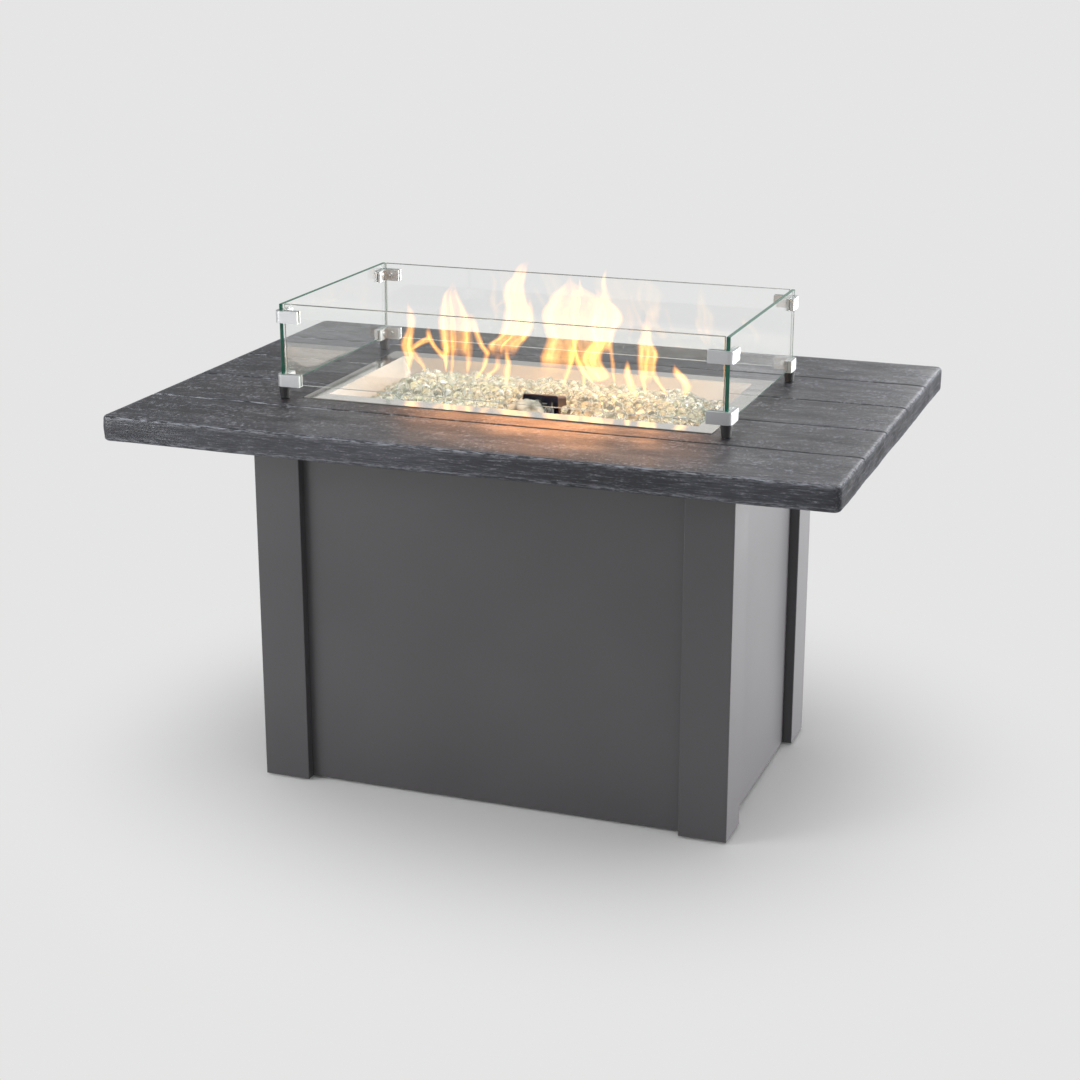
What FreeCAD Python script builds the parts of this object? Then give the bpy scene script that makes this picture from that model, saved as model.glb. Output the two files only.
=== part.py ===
# Rectangular gas fire pit table: a plank-cast top on a folded steel base, with a drop-in burner pan,
# a glass wind guard on rubber feet, a hinged access door and a gas control plate.
# Millimetres, +Z up, front towards -Y, origin on the floor under the centre of the table.

import FreeCAD, Part
import math
import os
import Sketcher

from FreeCAD import Vector

SIZES = [
    # Table top
    ("table_length", 1118),
    ("table_depth", 762),
    ("table_height", 610),
    ("slab_thickness", 39),
    ("slab_corner_round", 12),
    ("slab_edge_round", 4),
    ("plank_count", 5),
    ("groove_width", 5),
    ("groove_depth", 3),
    ("cutout_length", 604),
    ("cutout_depth", 302),
    # Base
    ("base_length", 760),
    ("base_depth", 481),
    ("leg_face", 75),
    ("panel_recess", 15),
    ("steel", 2),
    ("floor_gap", 4),
    ("leg_flange", 22),
    ("bend_round", 1.5),
    ("foot_plate_level", 14),
    ("foot_inset", 37),
    ("foot_radius", 15),
    ("foot_stud_radius", 4),
    ("foot_pad_height", 8),
    ("foot_nut_flat", 6.5),
    ("foot_nut_height", 6),
    ("foot_stud_above_plate", 10),
    ("foot_plate_side", 62),
    ("rail_height", 36),
    ("rail_width", 30),
    ("rail_steel", 3),
    ("rail_end_gap", 0.5),
    ("panel_hem", 18),
    ("slab_screw_end_inset", 60),
    ("slab_screw_side_inset", 34),
    ("slab_screw_radius", 2.95),
    ("slab_hole_radius", 3),
    ("slab_hole_depth", 22),
    ("rail_hole_radius", 3.4),
    ("slab_screw_grip", 20),
    ("slab_screw_head_flat", 5),
    ("slab_screw_head_height", 4),
    ("slab_washer_radius", 7),
    ("slab_washer_height", 1),
    ("tray_ledge", 30),
    ("sill_height", 32),
    ("tank_ring_radius", 112),
    ("tank_ring_height", 18),
    ("shield_level", 494),
    ("shield_rise", 58),
    ("shield_depth", 300),
    ("shield_hole_radius", 15),
    ("vent_length", 40),
    ("vent_width", 8),
    ("vent_pitch", 62),
    ("vent_row", 85),
    # Access door
    ("door_gap", 3),
    ("door_steel", 1.5),
    ("header_height", 42),
    ("hinge_offset", 4),
    ("hinge_radius", 3.5),
    ("hinge_leaf", 1.5),
    ("hinge_length", 50),
    ("hinge_pin_radius", 1.75),
    ("hinge_bore_radius", 1.8),
    ("hinge_frame_leaf", 10),
    ("hinge_door_leaf", 24),
    ("rivet_inset", 14),
    ("rivet_radius", 2.05),
    ("rivet_hole_radius", 2.1),
    ("rivet_head_radius", 3.6),
    ("rivet_head_top_radius", 2.2),
    ("rivet_head_height", 1.2),
    ("hinge_level_low", 80),
    ("hinge_level_high", 410),
    ("door_knob_radius", 13),
    ("door_knob_level", 290),
    ("door_knob_inset", 30),
    ("door_knob_screw_radius", 2.45),
    ("door_knob_bore_radius", 2.5),
    ("door_knob_hole_radius", 2.6),
    ("door_knob_screw_length", 11),
    ("door_hem", 12),
    ("catch_level", 350),
    ("catch_foot_height", 44),
    ("catch_nose_height", 32),
    ("catch_steel", 3),
    ("catch_plate_height", 36),
    ("catch_plate_steel", 1),
    # Burner
    ("flange_length", 648),
    ("flange_depth", 352),
    ("pan_opening_length", 592),
    ("pan_opening_depth", 290),
    ("pan_drop", 56),
    ("pan_steel", 1.5),
    ("burner_loop_length", 380),
    ("burner_loop_depth", 78),
    ("burner_tube_radius", 7),
    ("burner_loop_corner", 24),
    ("burner_loop_lift", 2),
    ("burner_inlet_radius", 8),
    ("burner_inlet_hole_radius", 8.2),
    ("burner_inlet_reach", 12),
    ("port_radius", 1.2),
    ("port_pitch", 25),
    ("ports_each_way", 6),
    ("glass_bed_drop", 24),
    ("hood_length", 58),
    ("hood_depth", 36),
    ("hood_rise", 12),
    ("hood_roof_fall", 8),
    ("hood_steel", 1.5),
    ("hood_lift", 24),
    ("hood_bend", 4),
    ("hood_foot_width", 10),
    ("hood_centre", 30),
    ("hood_front", -84),
    ("pilot_setback", 16),
    ("electrode_side", 20),
    ("sensor_side", 42),
    ("mixer_height", 34),
    ("mixer_radius", 12),
    ("mixer_bore_radius", 9),
    ("mixer_floor", 6),
    ("mixer_throat_radius", 4.2),
    ("mixer_window_radius", 4),
    ("mixer_window_level", 13),
    ("mixer_flange_radius", 20),
    ("mixer_flange_steel", 2),
    # Gas control
    ("control_level", 452),
    ("control_plate_height", 92),
    ("control_plate_width", 132),
    ("control_plate_round", 6),
    ("control_window_margin", 14),
    ("plate_screw_inset", 7),
    ("plate_screw_radius", 4.2),
    ("knob_side", -28),
    ("button_side", 32),
    ("knob_radius", 24),
    ("knob_length", 22),
    ("knob_travel", 4),
    ("stem_radius", 3.97),
    ("stem_fit", 0.06),
    ("stem_in_knob", 14),
    ("valve_axis_depth", 31),
    ("valve_body_start", 15),
    ("valve_body_length", 32),
    ("valve_body_width", 30),
    ("valve_body_height", 36),
    ("valve_nose_radius", 11),
    ("valve_outlet_radius", 6),
    ("valve_inlet_radius", 8),
    ("nipple_radius", 7.9),
    ("nipple_length", 18),
    ("nipple_bore_radius", 3),
    ("washer_radius", 7.6),
    ("washer_steel", 1.5),
    ("button_radius", 8.5),
    ("button_length", 22),
    ("button_stand", 9),
    ("igniter_barrel_length", 50),
    ("gas_tube_radius", 4),
    ("gas_tube_bend", 8),
    ("gas_tube_turn_in", -28),
    # Wind guard
    ("guard_length", 706),
    ("guard_depth", 383),
    ("guard_glass", 6),
    ("guard_glass_bevel", 0.6),
    ("guard_foot_height", 20),
    ("guard_height", 147),
    ("guard_corner_gap", 2),
    ("clamp_wall", 6),
    ("clamp_inner_wall", 3),
    ("clamp_height", 18.5),
    ("clamp_leg", 38),
    ("clamp_corner_round", 9),
    ("clamp_floor", 2.5),
    ("clamp_screw_inset", 13),
    ("clamp_screw_base_radius", 3.8),
    ("clamp_screw_top_radius", 2.8),
    ("clamp_screw_height", 2),
    ("clamp_socket_flat", 1.5),
    ("guard_foot_top_radius", 9),
    ("guard_foot_base_radius", 7.2),
]

# How far each upper clamp sits below the glass edge: they are pushed on by hand.
UPPER_CLAMP_DROP = {"front_left": 10, "front_right": 20, "rear_left": 10, "rear_right": 10}
CORNERS = {
    "front_left": (-1, -1),
    "front_right": (1, -1),
    "rear_left": (-1, 1),
    "rear_right": (1, 1),
}
CLEAR = 0.3
# How far a cutting solid runs past the face it opens.
OVER = 1
SAME = 1e-4
UP = Vector(0, 0, 1)
INWARD = Vector(1, 0, 0)
OUTWARD = Vector(-1, 0, 0)
REARWARD = Vector(0, 1, 0)

doc = FreeCAD.newDocument("FirePitTable")
sheet = doc.addObject("Spreadsheet::Sheet", "Sizes")
for row, (alias, value) in enumerate(SIZES, start=1):
    sheet.set(f"A{row}", alias)
    sheet.set(f"B{row}", str(value))
    sheet.setAlias(f"B{row}", alias)
doc.recompute()

sub_parts = []


def size(alias):
    return float(sheet.get(alias))


# Heights and planes that several pieces share, as expressions of the sheet's cells.
SLAB_BOTTOM = "(Sizes.table_height - Sizes.slab_thickness)"
TABLE_TOP = "Sizes.table_height"
HALF_BASE_X = "(Sizes.base_length / 2)"
HALF_BASE_Y = "(Sizes.base_depth / 2)"
PANEL_BACK = "(Sizes.panel_recess + Sizes.steel)"
FLANGE_BACK = "(Sizes.panel_recess + 2 * Sizes.steel)"
PANEL_HALF_X = f"(Sizes.base_length / 2 - Sizes.leg_face - {CLEAR})"
PANEL_HALF_Y = f"(Sizes.base_depth / 2 - Sizes.leg_face - {CLEAR})"
FLANGE_TIP_X = "(Sizes.base_length / 2 - Sizes.leg_face - Sizes.leg_flange)"
FLANGE_TIP_Y = "(Sizes.base_depth / 2 - Sizes.leg_face - Sizes.leg_flange)"
PANEL_TOP = "(Sizes.table_height - Sizes.slab_thickness - 1)"
# A hem starts this far inside its sheet, and ends this far from the legs' flanges.
HEM_OVERLAP = 0.5
HEM_GAP = 2
GUARD_BOTTOM = "(Sizes.table_height + Sizes.guard_foot_height)"
GLASS_BOTTOM = "(Sizes.table_height + Sizes.guard_foot_height + Sizes.clamp_floor)"
GUARD_TOP = "(Sizes.table_height + Sizes.guard_height)"


# Sketch and feature helpers

def new_body(name):
    body = doc.addObject("PartDesign::Body", name)
    body.Label = name
    sub_parts.append(body)
    return body


def new_sketch(body, role, height="0"):
    sketch = body.newObject("Sketcher::SketchObject", body.Name + "_sketch")
    origin_plane = next(item for item in body.Origin.OriginFeatures if item.Role == role)
    sketch.AttachmentSupport = (origin_plane, [""])
    sketch.MapMode = "FlatFace"
    sketch.setExpression("AttachmentOffset.Base.z", height)
    return sketch


def pin_point(sketch, geometry, point, axis, expression):
    # Holds one coordinate of a sketch point at an expression, measured from the sketch's origin.
    value = float(sketch.evalExpression(expression))
    if abs(value) < 1e-9:
        sketch.addConstraint(Sketcher.Constraint("PointOnObject", geometry, point, -2 if axis == "X" else -1))
        return
    kind = "Distance" + axis
    if value > 0:
        index = sketch.addConstraint(Sketcher.Constraint(kind, -1, 1, geometry, point, value))
        sketch.setExpression(f"Constraints[{index}]", expression)
    else:
        index = sketch.addConstraint(Sketcher.Constraint(kind, geometry, point, -1, 1, -value))
        sketch.setExpression(f"Constraints[{index}]", f"-1 * ({expression})")


def outline(sketch, points):
    # A closed outline through points, each a pair of expressions.
    corners = [Vector(float(sketch.evalExpression(x)), float(sketch.evalExpression(y)), 0) for x, y in points]
    first = sketch.GeometryCount
    count = len(corners)
    for number in range(count):
        sketch.addGeometry(Part.LineSegment(corners[number], corners[(number + 1) % count]), False)
    for number in range(count):
        following = first + (number + 1) % count
        sketch.addConstraint(Sketcher.Constraint("Coincident", first + number, 2, following, 1))
    for number, (x, y) in enumerate(points):
        pin_point(sketch, first + number, 1, "X", x)
        pin_point(sketch, first + number, 1, "Y", y)


def rectangle(sketch, low_x, low_y, high_x, high_y):
    outline(sketch, [(low_x, low_y), (high_x, low_y), (high_x, high_y), (low_x, high_y)])


def centred_rectangle(sketch, length, depth):
    rectangle(sketch, f"-{length} / 2", f"-{depth} / 2", f"{length} / 2", f"{depth} / 2")


def circle(sketch, x, y, radius):
    centre = Vector(float(sketch.evalExpression(x)), float(sketch.evalExpression(y)), 0)
    value = float(sketch.evalExpression(radius))
    number = sketch.addGeometry(Part.Circle(centre, Vector(0, 0, 1), value), False)
    index = sketch.addConstraint(Sketcher.Constraint("Radius", number, value))
    sketch.setExpression(f"Constraints[{index}]", radius)
    pin_point(sketch, number, 3, "X", x)
    pin_point(sketch, number, 3, "Y", y)


def pad(body, sketch, length, reverse=False, both_ways=False):
    feature = body.newObject("PartDesign::Pad", body.Name + "_pad")
    feature.Profile = sketch
    feature.setExpression("Length", length)
    feature.Reversed = reverse
    feature.Midplane = both_ways
    doc.recompute()
    return feature


def pocket(body, sketch, length, reverse=False, both_ways=False):
    before = body.Shape.Volume
    feature = body.newObject("PartDesign::Pocket", body.Name + "_pocket")
    feature.Profile = sketch
    feature.setExpression("Length", length)
    feature.Reversed = reverse
    feature.Midplane = both_ways
    doc.recompute()
    if not body.Shape.Volume < before - 1e-3:
        raise RuntimeError(f"the pocket of {body.Label} cuts nothing")
    return feature


def edge_names(shape, test):
    return [f"Edge{number}" for number, edge in enumerate(shape.Edges, start=1) if test(edge)]


def round_edges(body, radius, test, chamfer=False):
    base = body.Tip
    names = edge_names(base.Shape, test)
    if not names:
        raise RuntimeError(f"no edges found to round on {body.Label}")
    kind = "PartDesign::Chamfer" if chamfer else "PartDesign::Fillet"
    feature = body.newObject(kind, body.Name + "_rounded")
    feature.Base = (base, names)
    feature.setExpression("Size" if chamfer else "Radius", radius)
    doc.recompute()
    return feature


def is_upright(edge):
    box = edge.BoundBox
    return box.XLength < 1e-6 and box.YLength < 1e-6 and box.ZLength > 1e-6


def lies_at(edge, axis, level):
    box = edge.BoundBox
    low, high = {"X": (box.XMin, box.XMax), "Y": (box.YMin, box.YMax), "Z": (box.ZMin, box.ZMax)}[axis]
    return abs(low - level) < SAME and abs(high - level) < SAME


def made_shape(name, shape):
    # A sub-part whose shape is put together from Part's own solids.
    feature = doc.addObject("Part::Feature", name)
    feature.Label = name
    feature.Shape = shape
    feature.Placement = FreeCAD.Placement()
    sub_parts.append(feature)
    return feature


def cylinder(radius, length, base, direction=UP):
    return Part.makeCylinder(radius, length, base, direction)


def block(low, high):
    return Part.makeBox(high[0] - low[0], high[1] - low[1], high[2] - low[2], Vector(*low))


# Table top

def slab_screw_places():
    # Two rows of four screws, front and rear, up through the rails.
    reach_x = size("base_length") / 2 - size("slab_screw_end_inset")
    row_y = size("base_depth") / 2 - size("slab_screw_side_inset")
    places = []
    for side in (-1, 1):
        for step in (-1, -1 / 3, 1 / 3, 1):
            places.append((step * reach_x, side * row_y))
    return places


def make_table_top():
    body = new_body("table_top")
    sketch = new_sketch(body, "XY_Plane", SLAB_BOTTOM)
    centred_rectangle(sketch, "Sizes.table_length", "Sizes.table_depth")
    pad(body, sketch, "Sizes.slab_thickness")
    round_edges(body, "Sizes.slab_corner_round", is_upright)
    top = size("table_height")
    bottom = top - size("slab_thickness")
    round_edges(body, "Sizes.slab_edge_round",
                lambda edge: lies_at(edge, "Z", top) or lies_at(edge, "Z", bottom))
    sketch = new_sketch(body, "XY_Plane", TABLE_TOP)
    centred_rectangle(sketch, "Sizes.cutout_length", "Sizes.cutout_depth")
    pocket(body, sketch, f"Sizes.slab_thickness + {OVER}")
    sketch = new_sketch(body, "YZ_Plane")
    planks = int(size("plank_count"))
    for number in range(1, planks):
        centre = f"Sizes.table_depth * ({number} / Sizes.plank_count - 0.5)"
        top_left = f"{centre} - Sizes.groove_width / 2"
        top_right = f"{centre} + Sizes.groove_width / 2"
        low_left = f"{centre} - Sizes.groove_width / 6"
        low_right = f"{centre} + Sizes.groove_width / 6"
        floor = "Sizes.table_height - Sizes.groove_depth"
        above = f"Sizes.table_height + {OVER}"
        outline(sketch, [
            (top_left, above), (top_left, TABLE_TOP), (low_left, floor),
            (low_right, floor), (top_right, TABLE_TOP), (top_right, above),
        ])
    pocket(body, sketch, f"Sizes.table_length + 2 * {OVER}", both_ways=True)
    sketch = new_sketch(body, "XY_Plane", SLAB_BOTTOM)
    for x, y in slab_screw_places():
        circle(sketch, str(x), str(y), "Sizes.slab_hole_radius")
    pocket(body, sketch, "Sizes.slab_hole_depth", reverse=True)


# Base

def make_leg(corner):
    sign_x, sign_y = CORNERS[corner]
    body = new_body("leg_" + corner)
    near = "0"
    wall = "Sizes.steel"
    face = "Sizes.leg_face"
    inner_face = "(Sizes.leg_face - Sizes.steel)"
    tip = "(Sizes.leg_face + Sizes.leg_flange)"
    profile = [
        (near, near), (face, near), (face, PANEL_BACK), (tip, PANEL_BACK), (tip, FLANGE_BACK),
        (inner_face, FLANGE_BACK), (inner_face, wall), (wall, wall), (wall, inner_face),
        (FLANGE_BACK, inner_face), (FLANGE_BACK, tip), (PANEL_BACK, tip), (PANEL_BACK, face), (near, face),
    ]
    placed = [
        (f"{sign_x} * ({HALF_BASE_X} - {along})", f"{sign_y} * ({HALF_BASE_Y} - {across})")
        for along, across in profile
    ]
    sketch = new_sketch(body, "XY_Plane", "Sizes.floor_gap")
    outline(sketch, placed)
    pad(body, sketch, f"{SLAB_BOTTOM} - Sizes.floor_gap")
    corner_x = size("base_length") / 2
    corner_y = size("base_depth") / 2
    face_size = size("leg_face")

    def is_outer_corner(edge):
        if not is_upright(edge):
            return False
        x = corner_x - abs(edge.BoundBox.XMin)
        y = corner_y - abs(edge.BoundBox.YMin)
        outer = [(0, 0), (face_size, 0), (0, face_size)]
        return any(abs(x - a) < SAME and abs(y - b) < SAME for a, b in outer)

    round_edges(body, "Sizes.bend_round", is_outer_corner)
    sketch = new_sketch(body, "XY_Plane", "Sizes.foot_plate_level")
    low = "Sizes.steel"
    high = "Sizes.foot_plate_side"
    plate = [(low, low), (high, low), (high, high), (low, high)]
    outline(sketch, [
        (f"{sign_x} * ({HALF_BASE_X} - {along})", f"{sign_y} * ({HALF_BASE_Y} - {across})")
        for along, across in plate
    ])
    circle(sketch, f"{sign_x} * ({HALF_BASE_X} - Sizes.foot_inset)",
           f"{sign_y} * ({HALF_BASE_Y} - Sizes.foot_inset)", f"Sizes.foot_stud_radius + {CLEAR}")
    pad(body, sketch, "Sizes.rail_steel")


def make_leveling_feet():
    # A nylon pad on a threaded stud under each leg, held by a nut on the foot plate.
    radius = size("foot_radius")
    stud = size("foot_stud_radius")
    bevel = 1
    pad_top = size("foot_pad_height")
    neck = 0.6 * radius
    stud_start = 0.75 * pad_top
    plate_top = size("foot_plate_level") + size("rail_steel")
    stud_top = plate_top + size("foot_stud_above_plate")
    feet = []
    for sign_x, sign_y in CORNERS.values():
        x = sign_x * (size("base_length") / 2 - size("foot_inset"))
        y = sign_y * (size("base_depth") / 2 - size("foot_inset"))
        foot = Part.makeCone(radius - bevel, radius, bevel, Vector(x, y, 0))
        foot = foot.fuse(Part.makeCone(radius, neck, pad_top - bevel, Vector(x, y, bevel)))
        stud_solid = cylinder(stud, stud_top - stud_start, Vector(x, y, stud_start))
        nut = hexagon(size("foot_nut_flat"), size("foot_nut_height"), Vector(x, y, plate_top))
        feet.append(foot.fuse([stud_solid, nut]).removeSplitter())
    made_shape("leveling_feet", Part.makeCompound(feet))


def hexagon(flat_radius, height, centre, direction=UP):
    corner_radius = flat_radius / math.cos(math.pi / 6)
    points = []
    for number in range(7):
        angle = number * math.pi / 3
        points.append(Vector(corner_radius * math.cos(angle), corner_radius * math.sin(angle), 0))
    face = Part.Face(Part.makePolygon(points))
    solid = face.extrude(Vector(0, 0, height))
    solid.Placement = FreeCAD.Placement(centre, FreeCAD.Rotation(UP, direction))
    return solid


def make_front_panel():
    body = new_body("panel_front")
    sketch = new_sketch(body, "XZ_Plane", f"{HALF_BASE_Y} - {PANEL_BACK}")
    rectangle(sketch, f"-{PANEL_HALF_X}", "Sizes.floor_gap", PANEL_HALF_X, PANEL_TOP)
    pad(body, sketch, "Sizes.steel")
    sketch = new_sketch(body, "XY_Plane", "Sizes.floor_gap")
    outer = f"({HALF_BASE_Y} - Sizes.panel_recess)"
    rectangle(sketch, f"-{FLANGE_TIP_X} + {HEM_GAP}", f"-({outer} - {HEM_OVERLAP})",
              f"{FLANGE_TIP_X} - {HEM_GAP}", f"-({outer} - Sizes.panel_hem)")
    pad(body, sketch, "Sizes.steel")
    front = -(size("base_depth") / 2 - size("panel_recess"))
    round_edges(body, "Sizes.bend_round",
                lambda edge: lies_at(edge, "Z", size("floor_gap")) and lies_at(edge, "Y", front))


def make_end_panel(name, sign, control_window=False):
    body = new_body(name)
    outer = f"({HALF_BASE_X} - Sizes.panel_recess)"
    plane_offset = f"{sign} * {outer}"
    sketch = new_sketch(body, "YZ_Plane", plane_offset)
    rectangle(sketch, f"-{PANEL_HALF_Y}", "Sizes.floor_gap", PANEL_HALF_Y, PANEL_TOP)
    pad(body, sketch, "Sizes.steel", reverse=sign > 0)
    sketch = new_sketch(body, "XY_Plane", "Sizes.floor_gap")
    near = f"{sign} * ({outer} - {HEM_OVERLAP})"
    far = f"{sign} * ({outer} - Sizes.panel_hem)"
    rectangle(sketch, near, f"-{FLANGE_TIP_Y} + {HEM_GAP}", far, f"{FLANGE_TIP_Y} - {HEM_GAP}")
    pad(body, sketch, "Sizes.steel")
    side = sign * (size("base_length") / 2 - size("panel_recess"))
    round_edges(body, "Sizes.bend_round",
                lambda edge: lies_at(edge, "Z", size("floor_gap")) and lies_at(edge, "X", side))
    if control_window:
        half_width = "(Sizes.control_plate_width / 2 - Sizes.control_window_margin)"
        half_height = "(Sizes.control_plate_height / 2 - Sizes.control_window_margin)"
        sketch = new_sketch(body, "YZ_Plane", plane_offset)
        rectangle(sketch, f"-{half_width}", f"Sizes.control_level - {half_height}",
                  half_width, f"Sizes.control_level + {half_height}")
        pocket(body, sketch, f"Sizes.steel + {OVER}", reverse=sign < 0)


def rail_profile(sketch, sign, outer):
    # An angle under the slab: a flat side up against it and a flange down the wall.
    step = f"{sign} * {outer}"
    inside = f"{sign} * ({outer} - Sizes.rail_steel)"
    tip = f"{sign} * ({outer} - Sizes.rail_width)"
    low = f"{SLAB_BOTTOM} - Sizes.rail_height"
    under = f"{SLAB_BOTTOM} - Sizes.rail_steel"
    outline(sketch, [
        (step, low), (inside, low), (inside, under), (tip, under), (tip, SLAB_BOTTOM), (step, SLAB_BOTTOM),
    ])


def make_long_rail(name, sign):
    # Runs from leg to leg, and takes the screws that hold the slab.
    body = new_body(name)
    half_length = f"({HALF_BASE_X} - {FLANGE_BACK} - Sizes.rail_end_gap)"
    sketch = new_sketch(body, "YZ_Plane", f"-{half_length}")
    rail_profile(sketch, sign, f"({HALF_BASE_Y} - {FLANGE_BACK})")
    pad(body, sketch, f"2 * {half_length}")
    sketch = new_sketch(body, "XY_Plane", SLAB_BOTTOM)
    for x, y in slab_screw_places():
        if y * sign > 0:
            circle(sketch, str(x), str(y), "Sizes.rail_hole_radius")
    pocket(body, sketch, f"Sizes.rail_steel + {OVER}")


def make_side_rail(name, sign):
    body = new_body(name)
    half_length = f"({HALF_BASE_Y} - {FLANGE_BACK} - Sizes.rail_width - {CLEAR})"
    sketch = new_sketch(body, "XZ_Plane", f"-{half_length}")
    rail_profile(sketch, sign, f"({HALF_BASE_X} - {FLANGE_BACK})")
    pad(body, sketch, f"2 * {half_length}")


def make_slab_screws():
    underside = size("table_height") - size("slab_thickness") - size("rail_steel")
    head_height = size("slab_screw_head_height")
    washer_height = size("slab_washer_height")
    screws = []
    for x, y in slab_screw_places():
        head = hexagon(size("slab_screw_head_flat"), head_height, Vector(x, y, underside - head_height))
        washer = cylinder(size("slab_washer_radius"), washer_height, Vector(x, y, underside - washer_height))
        shank_low = underside - washer_height / 2
        shank_length = size("rail_steel") + size("slab_screw_grip")
        shank = cylinder(size("slab_screw_radius"), shank_length, Vector(x, y, shank_low))
        screws.append(head.fuse([washer, shank]).removeSplitter())
    made_shape("slab_screws", Part.makeCompound(screws))


def make_tank_tray():
    # The floor of the base, notched round the legs, with a ring that the gas bottle's foot stands in.
    body = new_body("tank_tray")
    gap = 1
    sill_gap = 0.5
    reach_x = f"({HALF_BASE_X} - {FLANGE_BACK} - {gap})"
    reach_y = f"({HALF_BASE_Y} - {FLANGE_BACK} - Sizes.steel - {sill_gap})"
    notch_x = f"({HALF_BASE_X} - Sizes.leg_face - {gap})"
    notch_y = f"({HALF_BASE_Y} - Sizes.leg_face - {gap})"
    level = "Sizes.floor_gap + Sizes.steel"
    sketch = new_sketch(body, "XY_Plane", level)
    quarter = [(notch_x, reach_y), (notch_x, notch_y), (reach_x, notch_y)]
    points = []
    for sign_x, sign_y, order in ((1, 1, 1), (1, -1, -1), (-1, -1, 1), (-1, 1, -1)):
        for x, y in quarter[::order]:
            points.append((f"{sign_x} * {x}", f"{sign_y} * {y}"))
    outline(sketch, points)
    pad(body, sketch, "Sizes.steel")
    sketch = new_sketch(body, "XY_Plane", level)
    circle(sketch, "0", "0", "Sizes.tank_ring_radius + Sizes.steel")
    circle(sketch, "0", "0", "Sizes.tank_ring_radius")
    pad(body, sketch, "Sizes.tank_ring_height")
    sketch = new_sketch(body, "XY_Plane", f"{level} + Sizes.steel")
    circle(sketch, "0", "0", "Sizes.tank_ring_radius - Sizes.tray_ledge")
    pocket(body, sketch, f"Sizes.steel + {OVER}")


def make_rear_sill():
    body = new_body("rear_sill")
    outer = f"({HALF_BASE_Y} - {FLANGE_BACK})"
    sketch = new_sketch(body, "XY_Plane", "Sizes.floor_gap")
    half_length = f"({HALF_BASE_X} - Sizes.leg_face - Sizes.steel)"
    rectangle(sketch, f"-{half_length}", outer, half_length, f"{outer} - Sizes.steel")
    pad(body, sketch, "Sizes.sill_height")
    sketch = new_sketch(body, "XY_Plane", "Sizes.floor_gap")
    rectangle(sketch, f"-{FLANGE_TIP_X}", f"{outer} - {HEM_OVERLAP}",
              FLANGE_TIP_X, f"{outer} - Sizes.panel_hem")
    pad(body, sketch, "Sizes.steel")


def make_rear_header():
    body = new_body("rear_header")
    sketch = new_sketch(body, "XZ_Plane", f"-({HALF_BASE_Y} - Sizes.panel_recess)")
    rectangle(sketch, f"-{PANEL_HALF_X}", f"{SLAB_BOTTOM} - Sizes.header_height", PANEL_HALF_X, PANEL_TOP)
    pad(body, sketch, "Sizes.steel")


def make_heat_shield():
    # A shallow tray hung between the end rails, so that the gas bottle stays cool.
    body = new_body("heat_shield")
    half = f"({HALF_BASE_X} - {FLANGE_BACK} - Sizes.rail_steel)"
    inner = f"({half} - Sizes.pan_steel)"
    sketch = new_sketch(body, "XZ_Plane", "0")
    low = "Sizes.shield_level"
    floor = f"{low} + Sizes.pan_steel"
    high = f"{low} + Sizes.shield_rise"
    outline(sketch, [
        (f"-{half}", high), (f"-{half}", low), (half, low), (half, high),
        (inner, high), (inner, floor), (f"-{inner}", floor), (f"-{inner}", high),
    ])
    pad(body, sketch, "Sizes.shield_depth", both_ways=True)
    sketch = new_sketch(body, "XY_Plane", floor)
    circle(sketch, "0", "0", "Sizes.shield_hole_radius")
    for row in (-1, 1):
        for column in (-4, -3, -2, -1, 1, 2, 3, 4):
            x = f"{column} * Sizes.vent_pitch"
            y = f"{row} * Sizes.vent_row"
            rectangle(sketch, f"{x} - Sizes.vent_length / 2", f"{y} - Sizes.vent_width / 2",
                      f"{x} + Sizes.vent_length / 2", f"{y} + Sizes.vent_width / 2")
    pocket(body, sketch, f"Sizes.pan_steel + {OVER}")


# Access door

def make_door():
    body = new_body("access_door")
    half = f"({HALF_BASE_X} - Sizes.leg_face - Sizes.door_gap)"
    low = "(Sizes.floor_gap + Sizes.door_gap)"
    high = f"({SLAB_BOTTOM} - Sizes.header_height - Sizes.door_gap)"
    outer = f"({HALF_BASE_Y} - Sizes.panel_recess)"
    sketch = new_sketch(body, "XZ_Plane", f"-{outer}")
    rectangle(sketch, f"-{half}", low, half, high)
    pad(body, sketch, "Sizes.door_steel")
    hem_half = f"({FLANGE_TIP_X} - 2 * {HEM_GAP})"
    sketch = new_sketch(body, "XY_Plane", f"{high} - Sizes.door_steel")
    rectangle(sketch, f"-{hem_half}", f"{outer} - {HEM_OVERLAP}", hem_half, f"{outer} - Sizes.door_hem")
    pad(body, sketch, "Sizes.door_steel")
    sketch = new_sketch(body, "XZ_Plane", f"-{outer}")
    circle(sketch, f"-{half} + Sizes.door_knob_inset", "Sizes.door_knob_level", "Sizes.door_knob_hole_radius")
    pocket(body, sketch, f"Sizes.door_steel + {OVER}", reverse=True)


def door_faces():
    outer = size("base_depth") / 2 - size("panel_recess")
    edge = size("base_length") / 2 - size("leg_face")
    return outer, edge


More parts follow.
